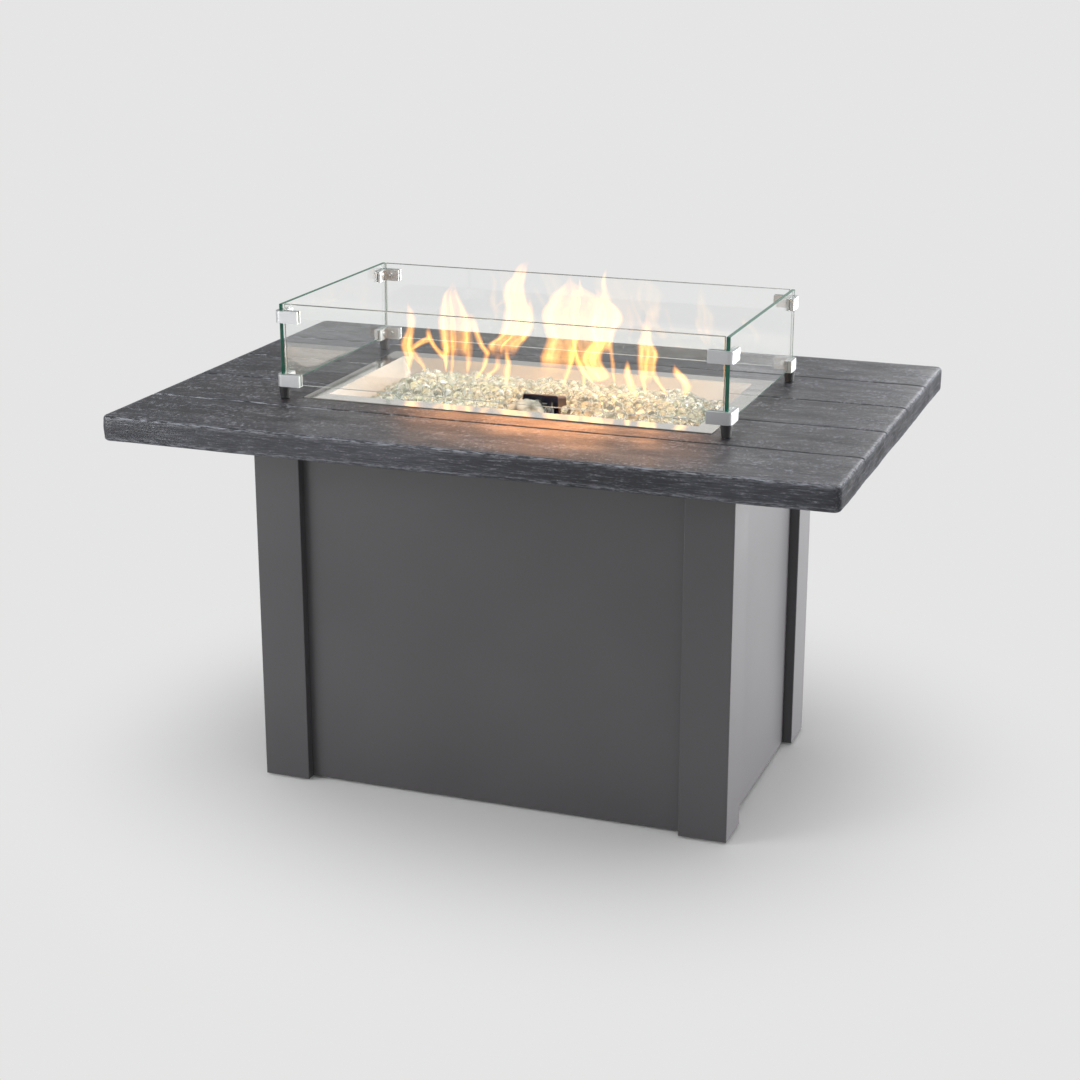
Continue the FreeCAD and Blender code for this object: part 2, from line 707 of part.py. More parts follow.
def make_door_knob():
    # A turned pull on a short neck, held by a screw from inside.
    outer, edge = door_faces()
    centre_x = size("door_gap") + size("door_knob_inset") - edge
    level = size("door_knob_level")
    radius = size("door_knob_radius")
    # The turned profile: (share of the radius, distance from the door).
    rings = [(0, 0), (0.62, 0), (0.45, 3), (0.45, 7), (0.9, 11), (1, 14), (1, 17), (0.85, 19), (0, 19)]
    points = [Vector(centre_x + share * radius, outer + along, level) for share, along in rings]
    profile = Part.Face(Part.makePolygon(points + [points[0]]))
    knob = profile.revolve(Vector(centre_x, outer, level), REARWARD, 360)
    screw_length = size("door_knob_screw_length")
    bore_depth = 10
    bore = cylinder(size("door_knob_bore_radius"), bore_depth, Vector(centre_x, outer, level), REARWARD)
    made_shape("door_knob", knob.cut(bore))
    inside = Vector(centre_x, outer - size("door_steel"), level)
    head_radius = 4.5
    head_height = 2.5
    screw = cylinder(size("door_knob_screw_radius"), screw_length, inside, REARWARD)
    head = cylinder(head_radius, head_height, inside, -REARWARD)
    return screw.fuse(head).removeSplitter()


def hinge_levels():
    return {"lower": size("hinge_level_low"), "upper": size("hinge_level_high")}


def leaf_end():
    # Where the door's hinge leaves begin: a little inside the knuckles.
    outer, edge = door_faces()
    return edge - size("hinge_offset") - size("hinge_radius") - 1


def rivet_places(low):
    # The two rivets of a hinge leaf, on the door's outer face.
    outer, edge = door_faces()
    x = leaf_end() - size("rivet_inset")
    return [Vector(x, outer, low + step * size("hinge_length")) for step in (0.2, 0.8)]


def make_hinges():
    outer, edge = door_faces()
    leaf = size("hinge_leaf")
    radius = size("hinge_radius")
    length = size("hinge_length")
    bore = size("hinge_bore_radius")
    axis_x = edge - size("hinge_offset")
    axis_y = outer + size("hinge_offset")
    third = length / 3
    wide = 20
    pins = []
    for place, low in hinge_levels().items():
        high = low + length
        middle_low = low + third
        middle_high = low + 2 * third
        whole = cylinder(radius, length, Vector(axis_x, axis_y, low))
        hole = cylinder(bore, length + 2 * OVER, Vector(axis_x, axis_y, low - OVER))
        middle = block((axis_x - wide, axis_y - wide, middle_low),
                       (axis_x + wide, axis_y + wide, middle_high))
        ends = whole.cut(middle)
        knuckle = cylinder(radius, third - 2 * CLEAR, Vector(axis_x, axis_y, middle_low + CLEAR))

        wall_leaf = block((edge - leaf, axis_y, low), (edge, axis_y + size("hinge_frame_leaf"), high))
        gap = block((edge - leaf - OVER, axis_y - OVER, middle_low),
                    (edge + OVER, axis_y + radius + OVER, middle_high))
        beyond = block((edge, axis_y - wide, low - OVER), (edge + wide, axis_y + wide, high + OVER))
        fixed = ends.fuse(wall_leaf).cut(gap).cut(hole).cut(beyond)
        made_shape("hinge_frame_" + place, fixed.removeSplitter())

        flat_end = leaf_end()
        door_leaf = block((flat_end - size("hinge_door_leaf"), outer, low), (flat_end, outer + leaf, high))
        tongue = block((flat_end - OVER, outer, middle_low + CLEAR),
                       (axis_x, outer + leaf, middle_high - CLEAR))
        for spot in rivet_places(low):
            drill = cylinder(size("rivet_hole_radius"), leaf + 2 * OVER, spot - REARWARD * OVER, REARWARD)
            door_leaf = door_leaf.cut(drill)
        moving = door_leaf.fuse([tongue, knuckle]).cut(hole)
        made_shape("hinge_door_" + place, moving.removeSplitter())

        cap_height = 1
        pin_low = Vector(axis_x, axis_y, low - cap_height)
        pin = cylinder(size("hinge_pin_radius"), length + 2 * cap_height, pin_low)
        for z in (low - cap_height, high):
            pin = pin.fuse(cylinder(0.8 * radius, cap_height, Vector(axis_x, axis_y, z)))
        pins.append(pin.removeSplitter())
    made_shape("hinge_pins", Part.makeCompound(pins))


def make_door_fasteners(knob_screw):
    # The knob's screw and the rivets of the hinge leaves.
    leaf = size("hinge_leaf")
    fasteners = [knob_screw]
    for low in hinge_levels().values():
        for spot in rivet_places(low):
            shank = cylinder(size("rivet_radius"), leaf, spot, REARWARD)
            head = Part.makeCone(size("rivet_head_radius"), size("rivet_head_top_radius"),
                                 size("rivet_head_height"), spot + REARWARD * leaf, REARWARD)
            fasteners.append(shank.fuse(head).removeSplitter())
    made_shape("door_fasteners", Part.makeCompound(fasteners))


def make_catch():
    # A magnet block behind the free edge of the door, and the steel plate that it holds.
    outer, edge = door_faces()
    flange_face = size("base_depth") / 2 - size("panel_recess") - 2 * size("steel")
    steel = size("catch_steel")
    tip = edge - size("leg_flange")
    level = size("catch_level")
    inner_face = outer - size("door_steel")
    foot_half = size("catch_foot_height") / 2
    nose_half = size("catch_nose_height") / 2
    plate_half = size("catch_plate_height") / 2
    flange_inset = 4
    nose_end = 14
    nose_start = 1
    pull_gap = 0.3
    nose_face = inner_face - size("catch_plate_steel") - pull_gap
    foot = block((flange_inset - edge, flange_face - steel, level - foot_half),
                 (nose_end - tip, flange_face, level + foot_half))
    nose = block((nose_start - tip, flange_face - steel, level - nose_half),
                 (nose_end - tip, nose_face, level + nose_half))
    made_shape("magnet_catch", foot.fuse(nose).removeSplitter())
    plate = block((nose_start + 0.5 - tip, inner_face - size("catch_plate_steel"), level - plate_half),
                  (nose_end + 2 - tip, inner_face, level + plate_half))
    made_shape("catch_plate", plate)


# Burner

def pan_half(alias, drop):
    # Half the pan's inner opening at a depth below the flange: the sides fall at 45 degrees.
    return size(alias) / 2 - drop


def level_outline(low_x, low_y, high_x, high_y, z):
    corners = [(low_x, low_y), (high_x, low_y), (high_x, high_y), (low_x, high_y), (low_x, low_y)]
    return Part.makePolygon([Vector(x, y, z) for x, y in corners])


def pan_frustum(top_drop, bottom_drop, inset):
    flange_top = size("table_height") + size("pan_steel")
    wires = []
    for drop in (top_drop, bottom_drop):
        half_x = pan_half("pan_opening_length", drop) - inset
        half_y = pan_half("pan_opening_depth", drop) - inset
        wires.append(level_outline(-half_x, -half_y, half_x, half_y, flange_top - drop))
    return Part.makeLoft(wires, True, True)


def pan_section(body, length, depth, height):
    sketch = new_sketch(body, "XY_Plane", height)
    centred_rectangle(sketch, length, depth)
    return sketch


def pan_loft(body, kind, name, top, low):
    feature = body.newObject("PartDesign::" + kind, name)
    feature.Profile = top
    feature.Sections = [low]
    feature.Ruled = True
    doc.recompute()


def make_burner_pan():
    body = new_body("burner_pan")
    rim = "(Sizes.table_height + Sizes.pan_steel)"
    floor = f"({rim} - Sizes.pan_drop)"
    # Steel of even thickness on a 45 degree side is wider across by the root of two.
    grow = "(2 * sqrt(2) - 2) * Sizes.pan_steel"
    flange = pan_section(body, "Sizes.flange_length", "Sizes.flange_depth", TABLE_TOP)
    pad(body, flange, "Sizes.pan_steel")
    outer_length = f"(Sizes.pan_opening_length + {grow})"
    outer_depth = f"(Sizes.pan_opening_depth + {grow})"
    outer_top = pan_section(body, outer_length, outer_depth, TABLE_TOP)
    outer_low = pan_section(body, f"({outer_length} - 2 * Sizes.pan_drop)",
                            f"({outer_depth} - 2 * Sizes.pan_drop)", f"{floor} - Sizes.pan_steel")
    pan_loft(body, "AdditiveLoft", "burner_pan_hull", outer_top, outer_low)
    inner_top = pan_section(body, "Sizes.pan_opening_length", "Sizes.pan_opening_depth", rim)
    inner_low = pan_section(body, "(Sizes.pan_opening_length - 2 * Sizes.pan_drop)",
                            "(Sizes.pan_opening_depth - 2 * Sizes.pan_drop)", floor)
    pan_loft(body, "SubtractiveLoft", "burner_pan_hollow", inner_top, inner_low)
    sketch = new_sketch(body, "XY_Plane", floor)
    circle(sketch, "0", "0", "Sizes.burner_inlet_hole_radius")
    pocket(body, sketch, f"Sizes.pan_steel + {OVER}")


def burner_floor():
    return size("table_height") + size("pan_steel") - size("pan_drop")


def loop_path(half_x, half_y, z, radius):
    # A closed rounded rectangle as one wire of lines and quarter arcs.
    straight_x = half_x - radius
    straight_y = half_y - radius
    turn = radius * math.sin(math.pi / 4)
    edges = []
    corners = [(1, 1), (-1, 1), (-1, -1), (1, -1)]
    for number, (sx, sy) in enumerate(corners):
        centre = Vector(sx * straight_x, sy * straight_y, z)
        if number % 2 == 0:
            start = centre + Vector(sx * radius, 0, 0)
            end = centre + Vector(0, sy * radius, 0)
        else:
            start = centre + Vector(0, sy * radius, 0)
            end = centre + Vector(sx * radius, 0, 0)
        middle = centre + Vector(sx * turn, sy * turn, 0)
        edges.append(Part.Arc(start, middle, end).toShape())
    lines = []
    for number in range(4):
        start = edges[number].Vertexes[-1].Point
        end = edges[(number + 1) % 4].Vertexes[0].Point
        lines.append(Part.LineSegment(start, end).toShape())
    ordered = []
    for arc, line in zip(edges, lines):
        ordered += [arc, line]
    return Part.Wire(ordered)


def make_burner_tube():
    # A loop of steel tube on the pan's floor, fed through a cross tube, with a row of ports along both sides.
    radius = size("burner_tube_radius")
    z = burner_floor() + radius + size("burner_loop_lift")
    half_x = size("burner_loop_length") / 2
    half_y = size("burner_loop_depth") / 2
    path = loop_path(half_x, half_y, z, size("burner_loop_corner"))
    start = path.Edges[0].Vertexes[0].Point
    tangent = path.Edges[0].tangentAt(path.Edges[0].FirstParameter)
    ring = Part.Wire([Part.Circle(start, tangent, radius).toShape()])
    loop = path.makePipeShell([ring], True, False)
    cross = cylinder(radius, 2 * half_y, Vector(0, -half_y, z), REARWARD)
    inlet_low = burner_floor() - size("burner_inlet_reach")
    inlet = cylinder(size("burner_inlet_radius"), z - inlet_low, Vector(0, 0, inlet_low))
    tube = loop.fuse([cross, inlet])
    ports = []
    reach = int(size("ports_each_way"))
    for side in (-1, 1):
        for number in range(-reach, reach + 1):
            port = Vector(number * size("port_pitch"), side * half_y, z)
            ports.append(cylinder(size("port_radius"), radius + OVER, port))
    tube = tube.cut(Part.makeCompound(ports))
    made_shape("burner_tube", tube.removeSplitter())


def hood_box():
    half = size("hood_length") / 2
    centre = size("hood_centre")
    front = size("hood_front")
    return centre - half, front, centre + half, front + size("hood_depth")


def make_fire_glass():
    # The bed of glass beads as one heap: it fills the pan's sloping sides and crowns in the middle.
    # A mound of beads lies against the hood's open front.
    rim = size("table_height") + size("pan_steel")
    drop = size("glass_bed_drop")
    floor_drop = size("pan_drop") - CLEAR
    heap = pan_frustum(drop, floor_drop, CLEAR)
    half_x = pan_half("pan_opening_length", drop) - CLEAR
    half_y = pan_half("pan_opening_depth", drop) - CLEAR
    shoulder_in = (34, 30)
    shoulder_rise = 13
    crown_in = (110, 62)
    crown_rise = 2
    levels = [
        (half_x, half_y, rim - drop),
        (half_x - shoulder_in[0], half_y - shoulder_in[1], rim - drop + shoulder_rise),
        (half_x - crown_in[0], half_y - crown_in[1], rim + crown_rise),
    ]
    wires = [level_outline(-reach_x, -reach_y, reach_x, reach_y, z) for reach_x, reach_y, z in levels]
    heap = heap.fuse(Part.makeLoft(wires[:2], True, True)).fuse(Part.makeLoft(wires[1:], True, True))
    mound_foot = level_outline(-44, -117, 60, -84, rim - drop - 2)
    mound_top = level_outline(-16, -104, 32, -88, rim + crown_rise)
    heap = heap.fuse(Part.makeLoft([mound_foot, mound_top], True, True))
    gap = 1
    tube_top = burner_floor() + size("burner_loop_lift") + 2 * size("burner_tube_radius") + gap
    margin = size("burner_tube_radius") + gap
    reach_x = size("burner_loop_length") / 2 + margin
    reach_y = size("burner_loop_depth") / 2 + margin
    heap = heap.cut(block((-reach_x, -reach_y, burner_floor() - OVER), (reach_x, reach_y, tube_top)))
    low_x, low_y, high_x, high_y = hood_box()
    above = rim + size("pan_drop")
    heap = heap.cut(block((low_x - gap, low_y - gap, burner_floor() - OVER), (high_x + gap, high_y + gap, above)))
    made_shape("fire_glass", heap.removeSplitter())


def hood_block(low, high, rear_top, bend):
    # A block whose roof falls towards the rear, with the roof's side corners rounded.
    side = [(low[1], low[2]), (high[1], low[2]), (high[1], rear_top), (low[1], high[2]), (low[1], low[2])]
    face = Part.Face(Part.makePolygon([Vector(low[0], y, z) for y, z in side]))
    solid = face.extrude(INWARD * (high[0] - low[0]))
    corners = [
        edge for edge in solid.Edges
        if edge.BoundBox.ZMin > rear_top - SAME and edge.BoundBox.YLength > 1 and edge.BoundBox.XLength < SAME
    ]
    return solid.makeFillet(bend, corners)


def make_igniter_hood():
    # A bent sheet cap over the pilot and spark, open to the front, on two feet at its back.
    low_x, low_y, high_x, high_y = hood_box()
    top = size("table_height") + size("pan_steel") + size("hood_rise")
    wall = size("hood_steel")
    bend = size("hood_bend")
    low = burner_floor() + size("hood_lift")
    slope = size("hood_roof_fall") / size("hood_depth")
    shell = hood_block((low_x, low_y, low), (high_x, high_y, top), top - size("hood_roof_fall"), bend)
    hollow_high = (high_x - wall, high_y - wall, top + slope * OVER - wall)
    hollow_rear = top - slope * (size("hood_depth") - wall) - wall
    hollow = hood_block((low_x + wall, low_y - OVER, low - OVER), hollow_high, hollow_rear, bend - wall)
    hood = shell.cut(hollow)
    feet = []
    width = size("hood_foot_width")
    for start in (low_x + bend, high_x - bend - width):
        feet.append(block((start, high_y - wall, burner_floor()), (start + width, high_y, low + OVER)))
    made_shape("igniter_hood", hood.fuse(feet).removeSplitter())


def stacked(centre, rounds):
    # Round steps on one upright axis, each (radius, start, length) above the centre.
    solids = [cylinder(radius, length, centre + UP * start) for radius, start, length in rounds]
    return solids[0].fuse(solids[1:])


def make_pilot_parts():
    # Spark electrode with its white ceramic sleeve, and the flame sensor beside it, under the hood.
    low_x, low_y, high_x, high_y = hood_box()
    floor = burner_floor()
    y = low_y + size("pilot_setback")
    electrode = Vector(low_x + size("electrode_side"), y, floor)
    sensor = Vector(low_x + size("sensor_side"), y, floor)
    sleeve, collar, rod = (3.2, 8, 30), (4.6, 14, 6), (1, 2, 50)
    tip = cylinder(rod[0], 14, electrode + Vector(-0.5, 0, 51), INWARD)
    made_shape("spark_electrode", stacked(electrode, [sleeve, collar, rod]).fuse(tip).removeSplitter())
    probe_body, probe_tip = (2.4, 4, 40), (1.6, 43, 10)
    nut = hexagon(5, 7, sensor + UP * 12)
    made_shape("flame_sensor", stacked(sensor, [probe_body, probe_tip]).fuse(nut).removeSplitter())
    margin = 8
    half_depth = 6
    plate_steel = 2
    bracket = block((electrode.x - margin - 2, y - half_depth, floor),
                    (sensor.x + margin, y + half_depth, floor + plate_steel))
    hole_radius = probe_body[0] + 0.2
    for centre in (electrode, sensor):
        bracket = bracket.cut(cylinder(hole_radius, plate_steel + 2 * OVER, centre - UP * OVER))
    made_shape("pilot_bracket", bracket)


def make_air_mixer():
    # The cup under the pan where air joins the gas: four windows round it and a jet below.
    top = burner_floor() - size("pan_steel")
    height = size("mixer_height")
    low = top - height
    radius = size("mixer_radius")
    outer = cylinder(radius, height, Vector(0, 0, low))
    floor = size("mixer_floor")
    bore = cylinder(size("mixer_bore_radius"), height - floor, Vector(0, 0, low + floor))
    throat = cylinder(size("mixer_throat_radius"), floor + 2 * OVER, Vector(0, 0, low - OVER))
    cup = outer.cut(bore).cut(throat)
    for angle in (45, 135, 225, 315):
        window_centre = Vector(0, 0, low + size("mixer_window_level"))
        window = cylinder(size("mixer_window_radius"), radius + 4 * OVER, window_centre, INWARD)
        window.rotate(Vector(0, 0, 0), UP, angle)
        cup = cup.cut(window)
    steel = size("mixer_flange_steel")
    flange = cylinder(size("mixer_flange_radius"), steel, Vector(0, 0, top - steel))
    flange = flange.cut(cylinder(radius, steel + 2 * OVER, Vector(0, 0, top - steel - OVER)))
    made_shape("air_mixer", cup.fuse(flange).removeSplitter())


# Gas control

def plate_face():
    return -(size("base_length") / 2 - size("panel_recess"))


def make_control_plate():
    body = new_body("control_plate")
    sketch = new_sketch(body, "YZ_Plane", f"-({HALF_BASE_X} - Sizes.panel_recess)")
    half_y = "Sizes.control_plate_width / 2"
    half_z = "Sizes.control_plate_height / 2"
    rectangle(sketch, f"-{half_y}", f"Sizes.control_level - {half_z}",
              half_y, f"Sizes.control_level + {half_z}")
    circle(sketch, "Sizes.knob_side", "Sizes.control_level", "Sizes.stem_radius + 1")
    circle(sketch, "Sizes.button_side", "Sizes.control_level", "Sizes.button_radius + 2.6")
    pad(body, sketch, "Sizes.steel", reverse=True)
    level = size("control_level")
    half_width = size("control_plate_width") / 2
    half_height = size("control_plate_height") / 2

    def is_plate_corner(edge):
        box = edge.BoundBox
        if box.YLength > 1e-6 or box.ZLength > 1e-6:
            return False
        return abs(abs(box.YMin) - half_width) < SAME and abs(abs(box.ZMin - level) - half_height) < SAME

    round_edges(body, "Sizes.control_plate_round", is_plate_corner)


def make_plate_screws():
    # Low domed heads with a cross slot.
    inset = size("plate_screw_inset")
    radius = size("plate_screw_radius")
    flatten = 0.45
    slot_half = 0.5
    slot_floor = 1.1
    slot_reach = radius + 0.8
    slot_top = 3
    level = size("control_level")
    half_width = size("control_plate_width") / 2 - inset
    half_height = size("control_plate_height") / 2 - inset
    face = plate_face() - size("steel")
    squeeze = FreeCAD.Matrix()
    squeeze.scale(1, 1, flatten)
    screws = []
    for side_y in (-1, 1):
        for side_z in (-1, 1):
            place = Vector(face, side_y * half_width, level + side_z * half_height)
            head = Part.makeSphere(radius, Vector(0, 0, 0), UP, 0, 90, 360)
            head = head.transformGeometry(squeeze)
            head = head.cut(block((-slot_half, -slot_reach, slot_floor), (slot_half, slot_reach, slot_top)))
            head = head.cut(block((-slot_reach, -slot_half, slot_floor), (slot_reach, slot_half, slot_top)))
            head.Placement = FreeCAD.Placement(place, FreeCAD.Rotation(UP, OUTWARD))
            screws.append(head)
    made_shape("plate_screws", Part.makeCompound(screws))


def make_gas_valve():
    # A brass valve body with a round nose behind the plate, an outlet on top and the inlet boss below.
    face = plate_face()
    y = size("knob_side")
    level = size("control_level")
    axis_x = face + size("valve_axis_depth")
    start = face + size("valve_body_start")
    half_width = size("valve_body_width") / 2
    half_height = size("valve_body_height") / 2
    corner_round = 3
    boss_height = 12
    outlet_rise = 9
    stem_depth = 35
    chamber_start, chamber_depth, chamber_radius = 24, 8, 8.2
    nose_length = size("valve_body_start") + OVER
    nose = cylinder(size("valve_nose_radius"), nose_length, Vector(face, y, level), INWARD)
    body = block((start, y - half_width, level - half_height),
                 (start + size("valve_body_length"), y + half_width, level + half_height))
    body = body.makeFillet(corner_round, [edge for edge in body.Edges if edge.BoundBox.XLength > 1])
    outlet_low = Vector(axis_x, y, level + half_height - OVER)
    outlet = cylinder(size("valve_outlet_radius"), outlet_rise + OVER, outlet_low)
    boss_low = level - half_height - boss_height + OVER
    inlet = cylinder(size("valve_inlet_radius"), boss_height, Vector(axis_x, y, boss_low))
    solid = nose.fuse([body, outlet, inlet])
    stem_hole = size("stem_radius") + size("stem_fit")
    solid = solid.cut(cylinder(stem_hole, stem_depth + OVER, Vector(face - OVER, y, level), INWARD))
    solid = solid.cut(cylinder(chamber_radius, chamber_depth, Vector(face + chamber_start, y, level), INWARD))
    tube_hole = size("gas_tube_radius") + 0.1
    solid = solid.cut(cylinder(tube_hole, boss_height, Vector(axis_x, y, level + half_height + 2)))
    made_shape("gas_valve", solid.removeSplitter())


def make_gas_inlet():
    # The threaded nipple that the bottle's hose screws onto.
    x = plate_face() + size("valve_axis_depth")
    y = size("knob_side")
    top = size("control_level") - 29
    radius = size("nipple_radius")
    collar_flat = 9.5
    collar_height = 8
    cone_height = 3
    cone_radius = 4.5
    thread_low = top - collar_height - size("nipple_length")
    collar = hexagon(collar_flat, collar_height, Vector(x, y, top - collar_height))
    nipple = cylinder(radius, size("nipple_length"), Vector(x, y, thread_low))
    cone = Part.makeCone(cone_radius, radius, cone_height, Vector(x, y, thread_low - cone_height))
    bore_low = thread_low - cone_height - OVER
    bore = cylinder(size("nipple_bore_radius"), 40, Vector(x, y, bore_low))
    made_shape("gas_inlet", collar.fuse([nipple, cone]).cut(bore).removeSplitter())


def make_knob_parts():
    # The knob and its stem turn together; pushing them in carries the thrust washer along.
    face = plate_face()
    y = size("knob_side")
    level = size("control_level")
    radius = size("knob_radius")
    length = size("knob_length")
    stem = size("stem_radius")
    in_knob = size("stem_in_knob")
    stand = 1
    skirt_height, skirt_taper = 6, 1.5
    grip_inset, grip_taper = 4, 2
    flute_count, flute_radius, flute_inset, flute_start = 18, 1.6, 3.4, 8
    crown_round = 2
    knob_foot = Vector(face - size("steel") - size("knob_travel") - stand, y, level)
    skirt = Part.makeCone(radius, radius - skirt_taper, skirt_height, knob_foot, OUTWARD)
    grip_radius = radius - grip_inset
    grip = Part.makeCone(grip_radius, grip_radius - grip_taper, length, knob_foot, OUTWARD)
    knob = skirt.fuse(grip)
    crown = [edge for edge in knob.Edges if abs(edge.BoundBox.XMax - (knob_foot.x - length)) < SAME]
    knob = knob.makeFillet(crown_round, crown)
    for number in range(flute_count):
        flute_foot = knob_foot + Vector(-flute_start, 0, radius - flute_inset)
        flute = cylinder(flute_radius, length, flute_foot, OUTWARD)
        flute.rotate(knob_foot, INWARD, 360 * number / flute_count)
        knob = knob.cut(flute)
    pointer_half, pointer_stand = 1.2, 0.8
    pointer = block((knob_foot.x - length - pointer_stand, y - pointer_half, level + grip_inset),
                    (knob_foot.x - skirt_height, y + pointer_half, level + grip_radius))
    knob = knob.fuse(pointer)
    knob = knob.cut(cylinder(stem, in_knob, knob_foot, OUTWARD))
    made_shape("gas_knob", knob.removeSplitter())
    stem_start = knob_foot.x - in_knob
    stem_length = face + size("valve_axis_depth") - stem_start
    made_shape("valve_stem", cylinder(stem, stem_length, Vector(stem_start, y, level), INWARD))
    washer_depth = 25
    washer_low = Vector(face + washer_depth, y, level)
    washer = cylinder(size("washer_radius"), size("washer_steel"), washer_low, INWARD)
    hole_length = size("washer_steel") + 2 * OVER
    hole = cylinder(stem + size("stem_fit"), hole_length, washer_low - INWARD * OVER, INWARD)
    made_shape("thrust_washer", washer.cut(hole))


def make_igniter():
    # The push-button spark generator: a bezel on the plate, a barrel behind it, and the button.
    face = plate_face()
    y = size("button_side")
    level = size("control_level")
    radius = size("button_radius")
    front = face - size("steel")
    bezel_height = 3
    bezel_lip, bezel_foot, barrel_wall, nut_wall = 4, 5.5, 2.5, 5
    nut_height, nut_gap = 5, 0.2
    bore_depth = 26
    bezel_front = Vector(front - bezel_height, y, level)
    bezel = Part.makeCone(radius + bezel_lip, radius + bezel_foot, bezel_height, bezel_front, INWARD)
    barrel = cylinder(radius + barrel_wall, size("igniter_barrel_length"), Vector(front, y, level), INWARD)
    nut = cylinder(radius + nut_wall, nut_height, Vector(face + size("steel") + nut_gap, y, level), INWARD)
    bore_start = Vector(front - bezel_height - OVER, y, level)
    bore = cylinder(radius + CLEAR, bezel_height + OVER + bore_depth, bore_start, INWARD)
    made_shape("igniter_module", bezel.fuse([barrel, nut]).cut(bore).removeSplitter())
    button_front = front - size("button_stand")
    button = cylinder(radius, size("button_length"), Vector(button_front, y, level), INWARD)
    rim = [edge for edge in button.Edges if abs(edge.BoundBox.XMax - button_front) < SAME]
    made_shape("igniter_button", button.makeFillet(1.5, rim))


def make_gas_tube():
    # The aluminium tube from the valve up under the heat shield to the air mixer's jet.
    x = plate_face() + size("valve_axis_depth")
    y = size("knob_side")
    turn_x = size("gas_tube_turn_in")
    valve_socket = 20
    shield_gap = 9
    start_z = size("control_level") + valve_socket
    run_z = size("shield_level") - shield_gap
    end_z = burner_floor() - size("pan_steel") - size("mixer_height") + size("mixer_floor")
    turn = size("gas_tube_bend")
    bend = turn * math.sin(math.pi / 4)
    first = Vector(x, y, start_z)
    up = Vector(x, y, run_z - turn)
    over = Vector(x + turn, y, run_z)
    far = Vector(turn_x - turn, y, run_z)
    diagonal = Vector(turn_x, y + turn, run_z)
    near = Vector(turn_x, -turn, run_z)
    into = Vector(turn_x + turn, 0, run_z)
    below = Vector(-turn, 0, run_z)
    rise = Vector(0, 0, run_z + turn)
    last = Vector(0, 0, end_z)
    edges = [
        Part.LineSegment(first, up).toShape(),
        Part.Arc(up, Vector(x + turn - bend, y, run_z - turn + bend), over).toShape(),
        Part.LineSegment(over, far).toShape(),
        Part.Arc(far, Vector(turn_x - turn + bend, y + turn - bend, run_z), diagonal).toShape(),
        Part.LineSegment(diagonal, near).toShape(),
        Part.Arc(near, Vector(turn_x + turn - bend, -turn + bend, run_z), into).toShape(),
        Part.LineSegment(into, below).toShape(),
        Part.Arc(below, Vector(-turn + bend, 0, run_z + turn - bend), rise).toShape(),
        Part.LineSegment(rise, last).toShape(),
    ]
    path = Part.Wire(edges)
    ring = Part.Wire([Part.Circle(first, UP, size("gas_tube_radius")).toShape()])
    made_shape("gas_tube", path.makePipeShell([ring], True, False))


# Wind guard

def make_guard_pane(name, low, high):
    body = new_body(name)
    sketch = new_sketch(body, "XY_Plane", GLASS_BOTTOM)
    rectangle(sketch, low[0], low[1], high[0], high[1])
    pad(body, sketch, f"{GUARD_TOP} - {GLASS_BOTTOM}")
    round_edges(body, "Sizes.guard_glass_bevel", lambda edge: True, chamfer=True)


def make_guard_glass():
    half_x = "(Sizes.guard_length / 2)"
    half_y = "(Sizes.guard_depth / 2)"
    glass = "Sizes.guard_glass"
    inner_x = f"({half_x} - {glass} - Sizes.guard_corner_gap)"
    for name, sign in (("glass_front", -1), ("glass_rear", 1)):
        make_guard_pane(name, (f"-{inner_x}", f"{sign} * {half_y}"),
                        (inner_x, f"{sign} * ({half_y} - {glass})"))
    for name, sign in (("glass_left", -1), ("glass_right", 1)):
        make_guard_pane(name, (f"{sign} * {half_x}", f"-{half_y}"),
                        (f"{sign} * ({half_x} - {glass})", half_y))


def clamp_levels(corner):
    drop = UPPER_CLAMP_DROP[corner]
    return {
        "lower": GUARD_BOTTOM,
        "upper": f"({GUARD_TOP} - {drop} - Sizes.clamp_height)",
    }


def make_clamp(corner, place):
    # One extrusion: an outer and an inner angle joined by a web through the gap between the panes.
    sign_x, sign_y = CORNERS[corner]
    body = new_body(f"clamp_{place}_{corner}")
    level = clamp_levels(corner)[place]
    outer = "(0 - Sizes.clamp_wall)"
    glass = "Sizes.guard_glass"
    gap = "(Sizes.guard_glass + Sizes.guard_corner_gap)"
    leg = "(Sizes.clamp_leg - Sizes.clamp_wall)"
    back = "(Sizes.guard_glass + Sizes.clamp_inner_wall)"
    profile = [
        (outer, outer), (leg, outer), (leg, "0"), (gap, "0"), (gap, glass), (leg, glass), (leg, back),
        (back, back), (back, leg), (glass, leg), (glass, "0"), ("0", "0"), ("0", leg), (outer, leg),
    ]

    def placed(points):
        return [
            (f"{sign_x} * (Sizes.guard_length / 2 - {along})", f"{sign_y} * (Sizes.guard_depth / 2 - {across})")
            for along, across in points
        ]

    sketch = new_sketch(body, "XY_Plane", level)
    outline(sketch, placed(profile))
    pad(body, sketch, "Sizes.clamp_height")
    if place == "lower":
        sketch = new_sketch(body, "XY_Plane", level)
        outline(sketch, placed([
            (outer, outer), (leg, outer), (leg, back), (back, back), (back, leg), (outer, leg),
        ]))
        pad(body, sketch, "Sizes.clamp_floor")
    corner_x = size("guard_length") / 2 + size("clamp_wall")
    corner_y = size("guard_depth") / 2 + size("clamp_wall")
    round_edges(body, "Sizes.clamp_corner_round", lambda edge: (
        is_upright(edge) and abs(abs(edge.BoundBox.XMin) - corner_x) < SAME
        and abs(abs(edge.BoundBox.YMin) - corner_y) < SAME
    ))


